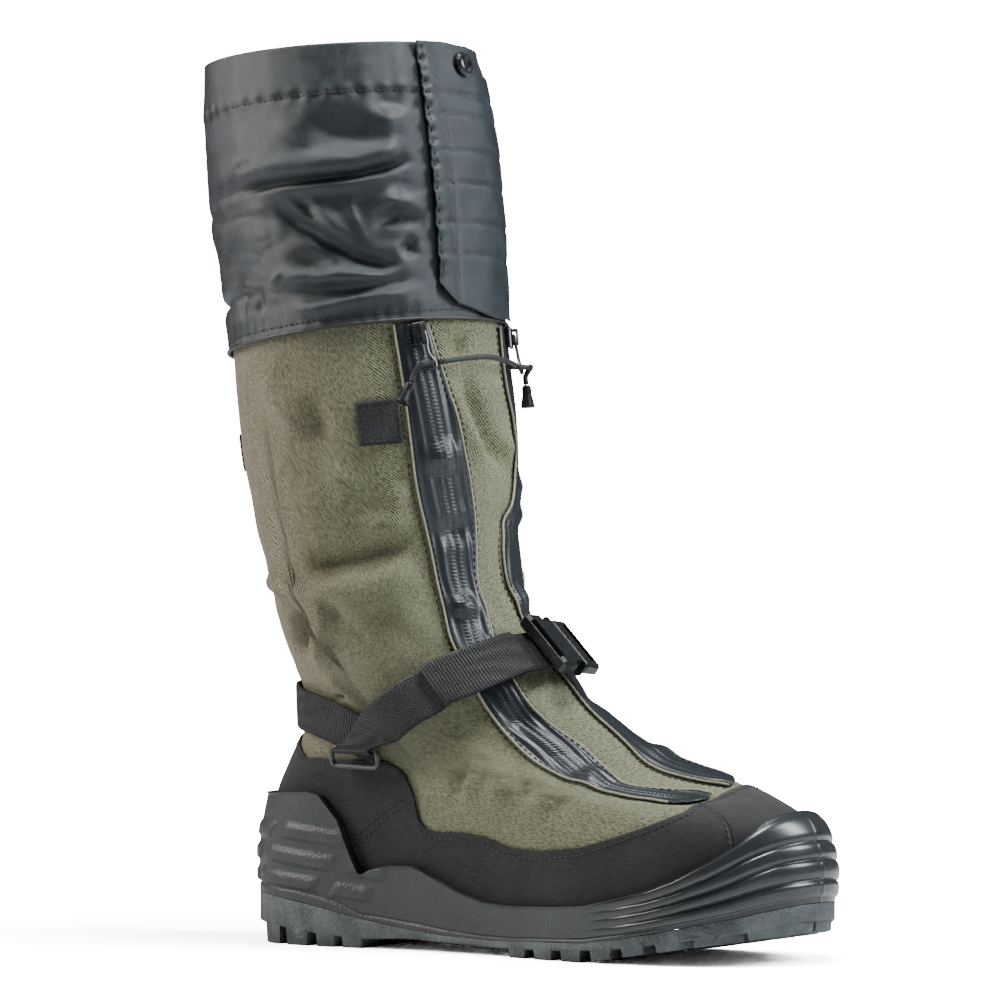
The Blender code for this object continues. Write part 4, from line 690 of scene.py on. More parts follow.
# %% Laying a grid on the last
def lay(name, across, along, place, finish, wall, closed=False):
    """A layer of cloth. place(u, v) gives points for grid places from 0 to 1."""
    bm = bmesh.new()
    bmesh.ops.create_grid(bm, x_segments=across, y_segments=along, size=0.5)
    flat = np.array([v.co[:2] for v in bm.verts]) + 0.5
    points = place(flat[:, 0], flat[:, 1])
    columns, rows = np.rint(flat[:, 0] * across).astype(int), np.rint(flat[:, 1] * along).astype(int)
    net = np.zeros((along + 1, across + 1, 3))
    net[rows, columns] = points
    step = np.linalg.norm(np.diff(net, axis=1), axis=2)
    u = np.concatenate((np.zeros((along + 1, 1)), np.cumsum(step, axis=1)), axis=1)
    u -= u[:, across // 2:across // 2 + 1]
    step = np.linalg.norm(np.diff(net, axis=0), axis=2)
    v = np.concatenate((np.zeros((1, across + 1)), np.cumsum(step, axis=0)))
    metres = np.stack((u[rows, columns], v[rows, columns]), 1)
    for vert, point in zip(bm.verts, points):
        vert.co = point
    layer = bm.loops.layers.uv.new("cloth")
    bm.verts.index_update()
    for face in bm.faces:
        face.smooth = True
        for loop in face.loops:
            loop[layer].uv = metres[loop.vert.index]
    if closed:
        bmesh.ops.remove_doubles(bm, verts=bm.verts, dist=1e-6)
    made = finished(bm, name, finish)
    if wall:
        thick = made.modifiers.new("thickness", "SOLIDIFY")
        thick.thickness = wall
        thick.offset = -1
    return made


def placed(name, data, finish):
    """Makes a mesh or a curve a piece of the boot."""
    data.materials.append(finish)
    made = bpy.data.objects.new(name, data)
    bpy.context.scene.collection.objects.link(made)
    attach(made, "root")
    return made


def finished(bm, name, finish):
    """Closes the working mesh and makes it a piece of the boot."""
    mesh = bpy.data.meshes.new(name)
    bm.to_mesh(mesh)
    bm.free()
    return placed(name, mesh, finish)


# %% [markdown]
# The cord comes first. It is one elastic cord of 3 mm that ties both zip pulls together, 0.125 m long
# from end to end, with a bell-shaped plastic end at each side. It follows the same route as its solid.

# %% Pull cord
CORD_ROUTE = (
    (0.0723, -0.0510, 0.2987), (0.0732, -0.0493, 0.3028), (0.0755, -0.0499, 0.3055),
    (0.0778, -0.0503, 0.3077), (0.0786, -0.0494, 0.3082), (0.0786, -0.0477, 0.3081),
    (0.0781, -0.0454, 0.3082), (0.0773, -0.0427, 0.3083), (0.0765, -0.0401, 0.3083),
    (0.0760, -0.0377, 0.3085), (0.0766, -0.0364, 0.3087), (0.0778, -0.0353, 0.3090),
    (0.0796, -0.0354, 0.3093), (0.0821, -0.0325, 0.3099), (0.0861, -0.0207, 0.3115),
    (0.0892, -0.0057, 0.3127), (0.0879, 0.0104, 0.3115), (0.0853, 0.0237, 0.3099),
    (0.0832, 0.0270, 0.3094), (0.0813, 0.0270, 0.3092), (0.0802, 0.0283, 0.3089), (0.0799, 0.0297, 0.3088),
    (0.0806, 0.0320, 0.3088), (0.0817, 0.0345, 0.3088), (0.0828, 0.0369, 0.3088), (0.0838, 0.0389, 0.3088),
    (0.0847, 0.0397, 0.3091), (0.0846, 0.0403, 0.3088), (0.0821, 0.0415, 0.3069), (0.0796, 0.0426, 0.3044),
    (0.0794, 0.0427, 0.3022), (0.0800, 0.0425, 0.3000),
)


def rope(name, points, diameter, finish, closed=False):
    """A round cord or wire as a curve."""
    curve = bpy.data.curves.new(name, "CURVE")
    curve.dimensions = "3D"
    curve.bevel_depth = diameter / 2
    curve.bevel_resolution = 3
    curve.use_fill_caps = True
    spline = curve.splines.new("POLY")
    spline.points.add(len(points) - 1)
    for spot, point in zip(spline.points, points):
        spot.co = (*point, 1)
    spline.use_cyclic_u = closed
    spline.use_smooth = True
    return placed(name, curve, finish)


route = smooth_row(CORD_ROUTE, 94)
pull_cord = rope("pull_cord_braid", route, 0.0030, braid)
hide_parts("pull_cord")

# %% [markdown]
# The canvas upper is one long tube of twill. It could be a sculpted mesh, but a grid laid on the last
# keeps the weave even and lets each crease be set by its place. Fewer rows go under the rand, where
# nobody sees them.

# %% Canvas upper
CANVAS_TOP = float(shaft_ring_at(COLLAR_FOOT + 0.010))
HIDDEN_SHARE = 0.12
CANVAS_WALL = 0.0016


def canvas_place(u, v):
    degrees = 180 - 360 * (1 - u)
    top = rand_top(degrees)
    split = top - 0.15
    above = split + (v - HIDDEN_SHARE) / (1 - HIDDEN_SHARE) * (CANVAS_TOP - top + 0.15)
    return on_canvas(degrees, np.where(v < HIDDEN_SHARE, v / HIDDEN_SHARE * split, above), 0.0)


canvas_tube = lay("canvas_upper", 232, 205, canvas_place, canvas, CANVAS_WALL, closed=True)
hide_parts("upper")

# %% [markdown]
# The rand and the toe cap are softshell, laid over the canvas and sewn down. Both stop under the rubber
# rim. The toe cap is its own patch between two seams.

# %% Rand and toe cap
SOFTSHELL_WALL = 0.0011
SOFTSHELL_FACE = 0.0015
SEAM_GAP = 0.15


def rand_place(start, end):
    def place(u, v):
        degrees = start + (end - start) * u
        return on_canvas(degrees, v * rand_top(degrees), SOFTSHELL_FACE)
    return place


rand_run = rand_place(TOE_CAP_SEAM + SEAM_GAP, 360 - TOE_CAP_SEAM - SEAM_GAP)
rand = lay("softshell_rand", 260, 50, rand_run, softshell, SOFTSHELL_WALL)
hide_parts("rand")
cap_run = rand_place(-TOE_CAP_SEAM, TOE_CAP_SEAM)
toe_cap = lay("softshell_toe_cap", 70, 50, cap_run, softshell, SOFTSHELL_WALL)
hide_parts("toe_cap")
print("rand and toe cap laid")

# %% [markdown]
# The rubber shell is a galosh that the foot parts stand in. Its outer wall rises to a rim that dips at
# the waist. The toe has four soft ribs that run together at the sides, and the heel's counter carries
# rows of raised pads. They are real relief in the mesh, so they show in silhouette and from the side.

# %% Rubber shell
RIB_HEIGHT = 0.0020
# Columns: height at the side, height at the toe, both as shares of the wall
RIB_GROOVES = np.array(((0.00, 0.00), (0.10, 0.08), (0.33, 0.30), (0.56, 0.52), (0.78, 0.73), (1.00, 1.00)))
HEEL_PADS = (
    # start and end angle at the top, at the low edge, height at the front and the back
    (118.0, 142.0, 122.0, 145.5, 0.755, 0.815),
    (124.0, 148.5, 128.0, 152.5, 0.600, 0.665),
    (129.0, 154.5, 133.0, 157.5, 0.460, 0.515),
    (107.5, 114.5, 109.5, 118.0, 0.700, 0.735),
    (111.5, 120.5, 113.5, 124.0, 0.545, 0.585),
    (115.5, 125.5, 118.0, 129.0, 0.405, 0.445),
    (145.5, 214.5, 149.0, 211.0, 0.815, 0.815),
    (152.0, 208.0, 156.0, 204.0, 0.665, 0.665),
    (158.0, 202.0, 161.0, 199.0, 0.515, 0.515),
)
PAD_TALL = 0.0108
PAD_RISE = 0.0015
RIM_BEAD = 0.0012
COUNTER_BEAD = 0.0026
BEAD_WIDTH = 0.0034
SIDE_GROOVE = 0.0008
MOULD_LINE = 0.0005
WALL_ROWS = 96
LIP_ROWS = 14


def wall_point(degrees, share, out):
    """Points on the wall, at a share of the way from the parting line to the rim."""
    rim = np.interp(degrees, CIRCLE, RIM_TOP)
    top, foot, out_at = smooth(degrees, rim), smooth(degrees, 0), outward(degrees, 0)
    low = parting((foot + out_at * SHELL_OUTSIDE)[:, 0])
    height = low + share * (top[:, 2] - low)
    ring = np.minimum(ring_where(degrees, lambda points: points[:, 2] < height, 0.0, 4.2), rim)
    upper = smooth(degrees, ring) + outward(degrees, ring) * out[:, None]
    under_foot = foot + out_at * out[:, None]
    under_foot[:, 2] = height
    return np.where((height >= foot[:, 2])[:, None], upper, under_foot)


def heel_relief(degrees, height):
    """The raised pads on the counter, from 0 to 1."""
    total = np.zeros(len(degrees))
    for start_top, end_top, start_low, end_low, front, back in HEEL_PADS:
        for way in (1, -1):
            turned = (degrees * way) % 360
            t = np.clip((turned - start_top) / (end_top - start_top), 0, 1)
            crown = (front + (back - front) * t) * COUNTER_HEIGHT
            down = (crown - height) / PAD_TALL
            start = start_top + (start_low - start_top) * down
            end = end_top + (end_low - end_top) * down
            side = ease(turned - start, 0.0, 1.5) * ease(end - turned, 0.0, 1.5)
            total = np.maximum(total, side * ease(down, 0.0, 0.42) * ease(1 - down, 0.0, 0.24))
    return total


rim_line = smooth(CIRCLE[::2], RIM_TOP[::2])


def shell_place(u, v):
    """Up the outer wall, over the rim and down the inner lip."""
    degrees = 180 - 360 * (1 - u)
    share = np.clip(v * (WALL_ROWS + LIP_ROWS) / WALL_ROWS, 0, 1)
    inward = np.clip((v * (WALL_ROWS + LIP_ROWS) - WALL_ROWS) / LIP_ROWS, 0, 1)
    toe = ease(np.cos(np.radians(degrees)), 0.42, 0.80)
    grooves = RIB_GROOVES[:, 0][:, None] + (RIB_GROOVES[:, 1] - RIB_GROOVES[:, 0])[:, None] * toe
    rib = np.zeros(len(u))
    for low, high in zip(grooves[1:], grooves[2:]):
        t = np.clip((share - low) / (high - low), 0, 1)
        rib = np.maximum(rib, (1 - np.abs(2 * t - 1) ** 3.6) * (share >= low) * (share <= high))
    base = wall_point(degrees, share, np.full(len(u), SHELL_OUTSIDE))
    bead = np.exp(-(nearest(base, rim_line) / BEAD_WIDTH) ** 2)
    counter = ease(np.abs(degrees), 98, 106) * (1 - ease(np.abs(degrees), 121, 126))
    rim = bead * (RIM_BEAD + COUNTER_BEAD * counter) * (1 - 0.6 * toe)
    out = SHELL_OUTSIDE + RIB_HEIGHT * rib * toe + rim
    out = out + PAD_RISE * heel_relief(degrees, base[:, 2])
    out = out - SIDE_GROOVE * np.exp(-((share - 0.10) / 0.02) ** 2) * (1 - toe)
    out = out + MOULD_LINE * np.exp(-(degrees / 0.7) ** 2)
    lip = np.clip(inward * 3, 0, 1)
    out = np.where(inward > 0, SHELL_OUTSIDE + 0.0012 - (SHELL_WALL + 0.0011) * ease(lip), out)
    drop = np.where(inward > 1 / 3, (inward - 1 / 3) * 1.5, 0)
    return wall_point(degrees, share - drop * 0.9 * (inward > 0), out)


shell = lay("rubber_shell", 520, WALL_ROWS + LIP_ROWS, shell_place, rubber, 0.0,
            closed=True)
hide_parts("shell")
print("shell faces:", len(shell.data.polygons))

# %% [markdown]
# The collar is a tube of coated nylon, gathered over the shaft. Its deep horizontal fold sags over
# itself, and an elastic casing puckers its lower edge. The top hem is a separate band, turned in and
# sewn, so it stands a little proud.

# %% Nylon collar
HEM_TALL = 0.027
HEM_RING = float(shaft_ring_at(COLLAR_TOP - HEM_TALL))
NYLON_WALL = 0.0011
COLLAR_FACE = 0.0015
COLLAR_SWELL = 0.0011
COLLAR_WRINKLE = 0.0010
FINE_WRINKLE = 0.0003
HEM_RISE = 0.0008
PUCKER = 0.0005
GATHER = 0.0004
FOOT_ROLL = 0.0007


def collar_relief(degrees, ring):
    """How far the collar stands out. It hangs slack below the deep fold and lies flat under the flap."""
    points = smooth(degrees, ring)
    turned = (degrees + 180) % 360 - 180
    stands = relief(points, COLLAR_LINES) + COLLAR_SWELL * waves(points, 0.040, 9)
    slack = 0.35 + 0.65 * (1 - ease(ring, 11.2, 11.7))
    slope = ring + 0.20 * np.cos(np.radians(degrees + 30))
    stands = stands + COLLAR_WRINKLE * slack * pulled(degrees, slope, 0.55, 0.34, 2)
    stands = stands + FINE_WRINKLE * slack * pulled(degrees, slope, 0.25, 0.14, 7)
    under_flap = ease(turned, -25, -21) * (1 - ease(turned, 33, 37))
    stands = stands * (1 - 0.85 * under_flap)
    hem = ease(ring, HEM_RING - 0.03, HEM_RING + 0.05)
    stands = stands * (1 - 0.6 * hem) + HEM_RISE * hem
    puckers = PUCKER * np.sin(np.radians(degrees) * 46) * np.exp(-((ring - HEM_RING) / 0.07) ** 2)
    stands = stands + puckers * (1 - under_flap)
    lap = 1 - ease(ring, 10.20, 10.32)
    stands = np.where(lap > 0, np.maximum(stands, 0.0002) * lap + stands * (1 - lap), stands)
    turn = np.radians(degrees)
    gathers = (0.5 + 0.5 * np.sin(turn * 58 + 1.7 * np.sin(turn * 7))) * GATHER
    stands = stands + gathers * np.exp(-((ring - FOOT_RING - 0.1) / 0.16) ** 2) * (1 - under_flap)
    return stands + FOOT_ROLL * np.exp(-((ring - FOOT_RING - 0.015) / 0.03) ** 2)


def on_collar(degrees, ring, out):
    degrees, ring = pairs(degrees, ring)
    return smooth(degrees, ring) + outward(degrees, ring) * (collar_relief(degrees, ring) + out)[:, None]


def collar_place(u, v):
    degrees = 180 - 360 * (1 - u)
    ring = FOOT_RING + v * (TOP_RING - FOOT_RING)
    return on_collar(degrees, ring, COLLAR_FACE)


collar = lay("nylon_collar", 315, 125, collar_place, nylon, NYLON_WALL, closed=True)
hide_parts("collar")

# %% [markdown]
# The front flap closes the collar. It is a long panel of nylon over hook tape, with a tab for the snap
# at its top. Rows of stitches cross it, and its outer edge is overlocked, so it waves a little.

# %% Front flap
FLAP_EDGES = np.array((
    # angle, lower edge in rings above the collar's, top edge in rings below the top
    (-22.0, 0.34, 0.00), (-20.0, 0.26, 0.00), (-14.0, 0.14, 0.00), (-7.0, 0.10, 0.00), (1.0, 0.05, 0.02),
    (9.0, 0.02, 0.02), (17.0, 0.02, 0.06), (25.0, 0.04, 0.30), (33.0, 0.04, 0.34)))
FLAP_LIFT = 0.0040
FLAP_WALL = 0.0012
STITCH_DIP = 0.0006
QUILT_RINGS = (12.16, 11.74, 11.36, 10.93, 10.62)


def flap_relief(degrees, ring):
    points = smooth(degrees, ring)
    quilt = np.zeros(len(points))
    for at in (*QUILT_RINGS, 12.40):
        quilt -= STITCH_DIP * np.exp(-((ring - at) / 0.035) ** 2)
    quilt -= STITCH_DIP * np.exp(-((degrees + 12.5) / 1.3) ** 2) * (ring < 12.2)
    edge = ease(-degrees, 16, 22)
    ripple = edge * (0.0009 * np.sin(ring * 21) + 0.0006 * np.sin(ring * 47 + 1))
    return quilt + ripple + 0.0009 * waves(points, 0.017, 21) + 0.0005


def on_flap(degrees, ring, out=0.0):
    degrees, ring = pairs(degrees, ring)
    height = FLAP_LIFT + flap_relief(degrees, ring) + out
    return smooth(degrees, ring) + outward(degrees, ring) * height[:, None]


def flap_place(u, v):
    degrees = -22 + 55 * u
    low = FOOT_RING + np.interp(degrees, FLAP_EDGES[:, 0], FLAP_EDGES[:, 1])
    high = TOP_RING - np.interp(degrees, FLAP_EDGES[:, 0], FLAP_EDGES[:, 2])
    return on_flap(degrees, low + (high - low) * v)


flap = lay("nylon_flap", 72, 150, flap_place, nylon, FLAP_WALL)
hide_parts("front_flap")
print("flap laid")

# %% [markdown]
# Each zip is a strip of coated tape along the shaft and the vamp. Two rows of coil teeth press through
# the film. The tape is a grid whose columns run from one edge to the other, and the teeth are ripples
# every 2 mm in its two middle bands.

# %% Zip tapes
ZIPS = {
    "lateral": np.array((
        # outer angle, ring, inner angle, ring
        (-43.0, 9.98, -28.5, 9.98), (-41.2, 9.40, -22.5, 9.40), (-40.6, 8.95, -17.8, 8.95),
        (-40.0, 8.65, -13.8, 8.65), (-37.2, 8.37, -12.4, 8.42), (-36.5, 8.15, -15.0, 8.15),
        (-38.0, 7.87, -16.0, 7.87), (-44.8, 7.43, -22.0, 7.50), (-51.1, 6.78, -30.0, 6.95),
        (-54.1, 6.24, -29.9, 6.44), (-54.3, 5.72, -25.0, 5.95), (-52.7, 5.07, -26.5, 5.30),
        (-50.0, 4.45, -29.5, 4.75), (-45.3, 4.05, -24.0, 4.50), (-40.5, 3.62, -11.0, 4.28),
        (-38.5, 3.25, -9.0, 4.05))),
    "medial": np.array((
        (39.0, 9.98, 18.1, 9.98), (41.0, 9.40, 18.6, 9.40), (47.0, 8.95, 25.9, 8.95),
        (47.0, 8.70, 26.0, 8.70), (36.0, 8.42, 9.0, 8.42), (30.0, 8.15, 5.0, 8.18),
        (32.0, 7.87, 10.0, 7.90), (34.0, 7.43, 11.0, 7.50), (34.0, 6.78, 8.0, 6.95),
        (34.0, 6.24, 5.0, 6.44), (36.0, 5.72, 5.0, 5.95), (32.0, 5.07, 0.0, 5.30), (30.0, 4.45, 1.0, 4.75),
        (30.0, 4.20, 4.0, 4.40), (32.0, 4.00, 7.0, 4.15), (32.0, 3.80, 8.0, 4.00))),
}
TAPE_FACE = 0.0019
TAPE_WALL = 0.0009
TEETH_PITCH = 0.0020
COIL_AWAY = 0.0021
COIL_WIDE = 0.0013
COIL_TALL = 0.00040
TOOTH_TALL = 0.00016
PLEAT_TALL = 0.00045


def zip_row(edges, v):
    """Both edges' angles and rings at shares v of the way down."""
    return curve_through(np.broadcast_to(edges, (len(v), *edges.shape)), v * (len(edges) - 1))


def tape_place(edges, rising):
    line = zip_row(edges, np.linspace(0, 1, 200))
    middle = smooth((line[:, 0] + line[:, 2]) / 2, (line[:, 1] + line[:, 3]) / 2)
    run = run_along(middle)

    def place(u, v):
        share = np.interp((1 - v) * run[-1], run, np.linspace(0, 1, 200))
        row = zip_row(edges, share)
        cross = u if rising else 1 - u
        degrees = row[:, 0] + (row[:, 2] - row[:, 0]) * cross
        ring = row[:, 1] + (row[:, 3] - row[:, 1]) * cross
        width = np.linalg.norm(smooth(row[:, 0], row[:, 1]) - smooth(row[:, 2], row[:, 3]), axis=1)
        off = (cross - 0.5) * width
        length = (1 - v) * run[-1]
        coil = np.exp(-((np.abs(off) - COIL_AWAY) / COIL_WIDE) ** 2)
        teeth = np.sin(length * TURN / TEETH_PITCH + np.sign(off) * 1.5)
        pleats = PLEAT_TALL * np.sin(off * 900 + 3 * np.sin(length * 22)) * ease(np.abs(off), 0.004, 0.008)
        pleats *= 1 - ease(np.abs(cross - 0.5), 0.38, 0.48)
        return on_canvas(degrees, ring, TAPE_FACE + coil * (COIL_TALL + TOOTH_TALL * teeth) + pleats)
    return place


for side, edges in ZIPS.items():
    tape = lay("zip_film_" + side, 30, 800, tape_place(edges, side == "lateral"), film, TAPE_WALL)
    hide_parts("zip_tape_" + side)

# %% [markdown]
# The canvas is turned under where it meets a zip. That leaves a pale rolled edge with black stitches
# beside it. The roll is a thin cord of canvas, and each stitch is a small capsule laid along the seam.

# %% Rolled edges and stitches
def resample(points, pitch):
    """Evenly spaced points and directions along a row."""
    run = run_along(points)
    count = max(int(run[-1] / pitch), 2)
    at = np.linspace(0, run[-1], count + 1)
    even = np.stack([np.interp(at, run, points[:, k]) for k in range(3)], 1)
    middle = (even[1:] + even[:-1]) / 2
    way = even[1:] - even[:-1]
    return even, middle, way / np.linalg.norm(way, axis=1, keepdims=True)


def sew(name, rows, length=0.0026, pitch=0.0040, thick=0.0007):
    """Stitches along rows of points, in one mesh."""
    bm = bmesh.new()
    for points in rows:
        _, middle, way = resample(np.asarray(points), pitch)
        for spot, along in zip(middle, way):
            turn = Vector((0, 0, 1)).rotation_difference(Vector(along)).to_matrix().to_4x4()
            shape = Matrix.Diagonal((thick / 2, thick / 2, length / 2, 1))
            place = Matrix.Translation(Vector(spot)) @ turn @ shape
            bmesh.ops.create_uvsphere(bm, u_segments=6, v_segments=4, radius=1.0, matrix=place)
    for face in bm.faces:
        face.smooth = True
    return finished(bm, name, thread)


ROLL_THICK = 0.0013
ON_SOFTSHELL = 0.0017
seams = []
for side, edges in ZIPS.items():
    whole = zip_row(edges, np.linspace(0, 1, 260))
    for column, name in ((0, "outer"), (2, "inner")):
        row = whole[whole[:, column + 1] > rand_top(whole[:, column]) + 0.12]
        degrees, ring = row[:, column], row[:, column + 1]
        even, _, _ = resample(on_canvas(degrees, ring, 0.0016), 0.003)
        rope("zip_edge_" + side + "_" + name, even, ROLL_THICK, edging)
        towards = np.sign(row[:, 2 - column] - degrees)
        seams.append(on_canvas(degrees - towards * 2.0, ring, 0.0003))
        seams.append(on_canvas(degrees + towards * 1.5, ring, TAPE_FACE + 0.0001))
sew("zip_stitches", seams, length=0.0026, pitch=0.0038)

ROUND = np.linspace(TOE_CAP_SEAM + 1, 360 - TOE_CAP_SEAM - 1, 500)
CAP = np.linspace(-TOE_CAP_SEAM, TOE_CAP_SEAM, 70)
rand_seams = [on_canvas(ROUND, rand_top(ROUND) - 0.16, ON_SOFTSHELL),
              on_canvas(CAP, rand_top(CAP) - 0.12, ON_SOFTSHELL)]
for side in (-1, 1):
    ring = np.linspace(0.8, rand_top(np.array([side * TOE_CAP_SEAM]))[0] - 0.1, 60)
    rand_seams.append(on_canvas(side * (TOE_CAP_SEAM + 0.9), ring, ON_SOFTSHELL))
for way in (-1, 1):
    for beside_seam in (0.0, 2.6):
        at = np.linspace(0, 2, 40)
        degrees = np.interp(at, (0, 1, 2), (-106, -115, -123)) - beside_seam
        ring = np.interp(at, (0, 1, 2), (2.3, 1.6, 0.9))
        rand_seams.append(on_canvas(-way * degrees, ring, ON_SOFTSHELL))
sew("rand_stitches", rand_seams, length=0.0026, pitch=0.0036)

AROUND = np.linspace(-180, 180, 500)
collar_seams = [on_collar(AROUND, HEM_RING - 0.01, 0.0016), on_collar(AROUND, FOOT_RING + 0.09, 0.0017)]
sew("collar_stitches", collar_seams, length=0.0024, pitch=0.0034)

overlock = on_collar(AROUND[:-1], FOOT_RING + 0.012, 0.0014)
rope("collar_overlock", overlock, 0.0020, thread, closed=True)

UP = np.linspace(0, 1, 60)
flap_seams = [on_flap(-12.5, 10.40 + UP * 1.76), on_flap(-20.3, 10.45 + UP * 2.45),
              on_flap(27.5, 10.30 + UP * 1.9), on_flap(-20 + 44 * UP, 12.40 - 0.02 * UP)]
flap_seams += [on_flap(-12.5 + 40 * UP, at) for at in QUILT_RINGS]
sew("flap_stitches", flap_seams, length=0.0022, pitch=0.0032, thick=0.0006)
print("stitches sewn")

# %% [markdown]
# Webbing is modelled as what it is: a flat band with a thin selvedge. Its run is a row of middle points
# with a direction across at each. The front strap turns round the ring's bar, comes back under itself,
# and its tail is folded back on top near the buckle.

# %% Straps
WEBBING = 0.0016
WEBBING_WIDTH = 0.025
RIB_TALL = 0.00011
STRAP_LIFT = 0.0021
FRONT_LIFT = STRAP_LIFT + WEBBING + 5 * GAP
RING_WIRE = 0.0030
RING_TURN = RING_WIRE / 2 + GAP + WEBBING / 2
COIL_HEIGHT = 0.0008


def unit(v):
    return v / np.linalg.norm(v)


def point_at(place):
    return smooth([place[0]], [place[1]])[0]


def out_at(place):
    return outward([place[0]], [place[1]])[0]


def beside(place, way):
    """The place on the last that a short straight way leads to."""
    degrees, ring = place
    around = (point_at((degrees + 1, ring)) - point_at((degrees - 1, ring))) / 2
    up = (point_at((degrees, ring + 0.05)) - point_at((degrees, ring - 0.05))) / 0.1
    a, b, c, p, q = around @ around, around @ up, up @ up, around @ way, up @ way
    return degrees + (p * c - q * b) / (a * c - b * b), ring + (a * q - b * p) / (a * c - b * b)


def strap_stations(places, lift, bar=None):
    """Middle points and directions across, clear of the last at both edges."""
    stations = []
    for i, place in enumerate(places):
        before, after = point_at(places[max(i - 1, 0)]), point_at(places[min(i + 1, len(places) - 1)])
        normal = out_at(place)
        side = unit(np.cross(after - before, normal))
        if bar is not None:
            t = float(ease(i, 1, 7))
            side = bar * (1 - t) + side * t
            side = unit(side - normal * (side @ normal))
        middle = point_at(place)
        rise = max(0.0, *[(point_at(beside(place, side * WEBBING_WIDTH * s)) - middle) @ normal
                          for s in (-0.5, -0.3, 0.3, 0.5)])
        stations.append((middle + normal * (lift[i] + rise), side, normal))
    return stations


def band(name, node, stations, width):
    """A band of webbing along stations of a middle point and a direction across, in place of a node."""
    count = len(stations)
    middles = np.array([s[0] for s in stations])
    sides = np.array([s[1] for s in stations])
    run = run_along(middles)
    rows = min(2 * max(int(run[-1] / 0.0009), 12), 420)

    def along(table, at):
        return curve_through(np.broadcast_to(table, (len(at), count, 3)), at)

    def place(u, v):
        at = np.interp(v * run[-1], run, np.arange(count))
        centre, side = along(middles, at), along(sides, at)
        side /= np.linalg.norm(side, axis=1, keepdims=True)
        ahead = along(middles, np.minimum(at + 0.05, count - 1))
        behind = along(middles, np.maximum(at - 0.05, 0))
        face = np.cross(side, ahead - behind)
        face /= np.linalg.norm(face, axis=1, keepdims=True)
        rib = RIB_TALL * np.sin(v * run[-1] * TURN / RIB_PITCH)
        edge = 1 - 0.35 * ease(np.abs(u - 0.5), 0.44, 0.5)
        return centre + side * ((u - 0.5) * width)[:, None] + face * ((WEBBING / 2 + rib) * edge)[:, None]

    made = lay(name, 14, rows, place, strapping, WEBBING * 0.94)
    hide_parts(node)
    return made


def bar_way(side):
    first, second = (point_at((-side * degrees, ring)) for degrees, ring in RING_BAR)
    return unit((second - first) * -side)


def front_run(side):
    """The stations of a front strap from the ring to the buckle."""
    places = smooth_row(FRONT_STRAP, 24) * np.array((-side, 1))
    low = FRONT_LIFT + WEBBING / 2
    top = low + 2 * RING_TURN
    flat = max(low + COIL_HEIGHT, low + WEBBING + GAP)
    lift = [top + (flat - top) * float(ease(i, 1, 5)) for i in range(6)]
    lift += [flat + (low + COIL_HEIGHT - flat) * float(ease(i, 5, 9)) for i in range(6, 24)]
    return [tuple(p) for p in places], strap_stations([tuple(p) for p in places], lift, bar_way(side))


near = smooth_row(HEEL_STRAP, 16)
round_heel = [tuple(p) for p in near] + [(-360 - p[0], p[1]) for p in near[::-1][1:]]
band("webbing_heel", "strap_heel", strap_stations(round_heel, [STRAP_LIFT + WEBBING / 2] * len(round_heel)),
     WEBBING_WIDTH - 0.002)

for side, name in ((-1, "lateral"), (1, "medial")):
    places, stations = front_run(side)
    top, across, normal = stations[0]
    down = unit(np.cross(across, normal))
    down = down if down[2] < 0 else -down
    centre = top - normal * RING_TURN
    turn = [(centre + (down * math.sin(a) - normal * math.cos(a)) * RING_TURN, across, normal)
            for a in np.radians((0, 36, 72, 108, 144))]
    back = strap_stations(places[1:4], [FRONT_LIFT + WEBBING / 2] * 3, bar_way(side))
    band("webbing_front_" + name, "strap_front_" + name, back[::-1] + turn + stations, WEBBING_WIDTH)
    if side < 0:
        tail = [(m + n * (WEBBING + 2 * GAP), s, n) for m, s, n in stations[14:22]]
        band("webbing_tail", "strap_tail", tail, WEBBING_WIDTH + 0.0006)
print("straps laid")

# %% [markdown]
# At the back a short upright band holds the heel strap, and a narrow tape covers the canvas's back seam.
# Two squares of hook tape sit below the collar.

# %% Keeper, back tape and hook patches
place = (-180.0, 4.78)
normal = out_at(place)
strap = strap_stations([(-182.0, 4.78), place, (-178.0, 4.78)], [STRAP_LIFT + WEBBING / 2] * 3)[1][0]
over_strap = strap + normal * (WEBBING + 2 * GAP)
half = WEBBING_WIDTH / 2
up = unit(point_at((-180.0, 4.88)) - point_at((-180.0, 4.68)))
across = unit(np.cross(up, normal))
sewn = []
for share in (-1.36, -1.18, 1.25, 1.50):
    spot = beside(place, up * half * share)
    sewn.append(point_at(spot) + out_at(spot) * (0.0015 + GAP + WEBBING / 2))
middle = [over_strap + up * half * s for s in (-1.02, 0, 1.02)]
band("webbing_keeper", "strap_keeper", [(p, across, normal) for p in sewn[:2] + middle + sewn[2:]], 0.014)


def back_place(u, v):
    degrees = 175.5 + 9.0 * u
    low = rand_top(degrees) + 0.06
    return on_canvas(degrees, low + (FOOT_RING - 0.12 - low) * v, 0.0012)


back_tape = lay("seam_tape_back", 10, 200, back_place, strapping, 0.0006)
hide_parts("back_tape")
BACK_UP = np.linspace(4.7, FOOT_RING - 0.15, 200)
sew("back_stitches", [on_canvas(176.6, BACK_UP, 0.0014), on_canvas(183.4, BACK_UP, 0.0014)])

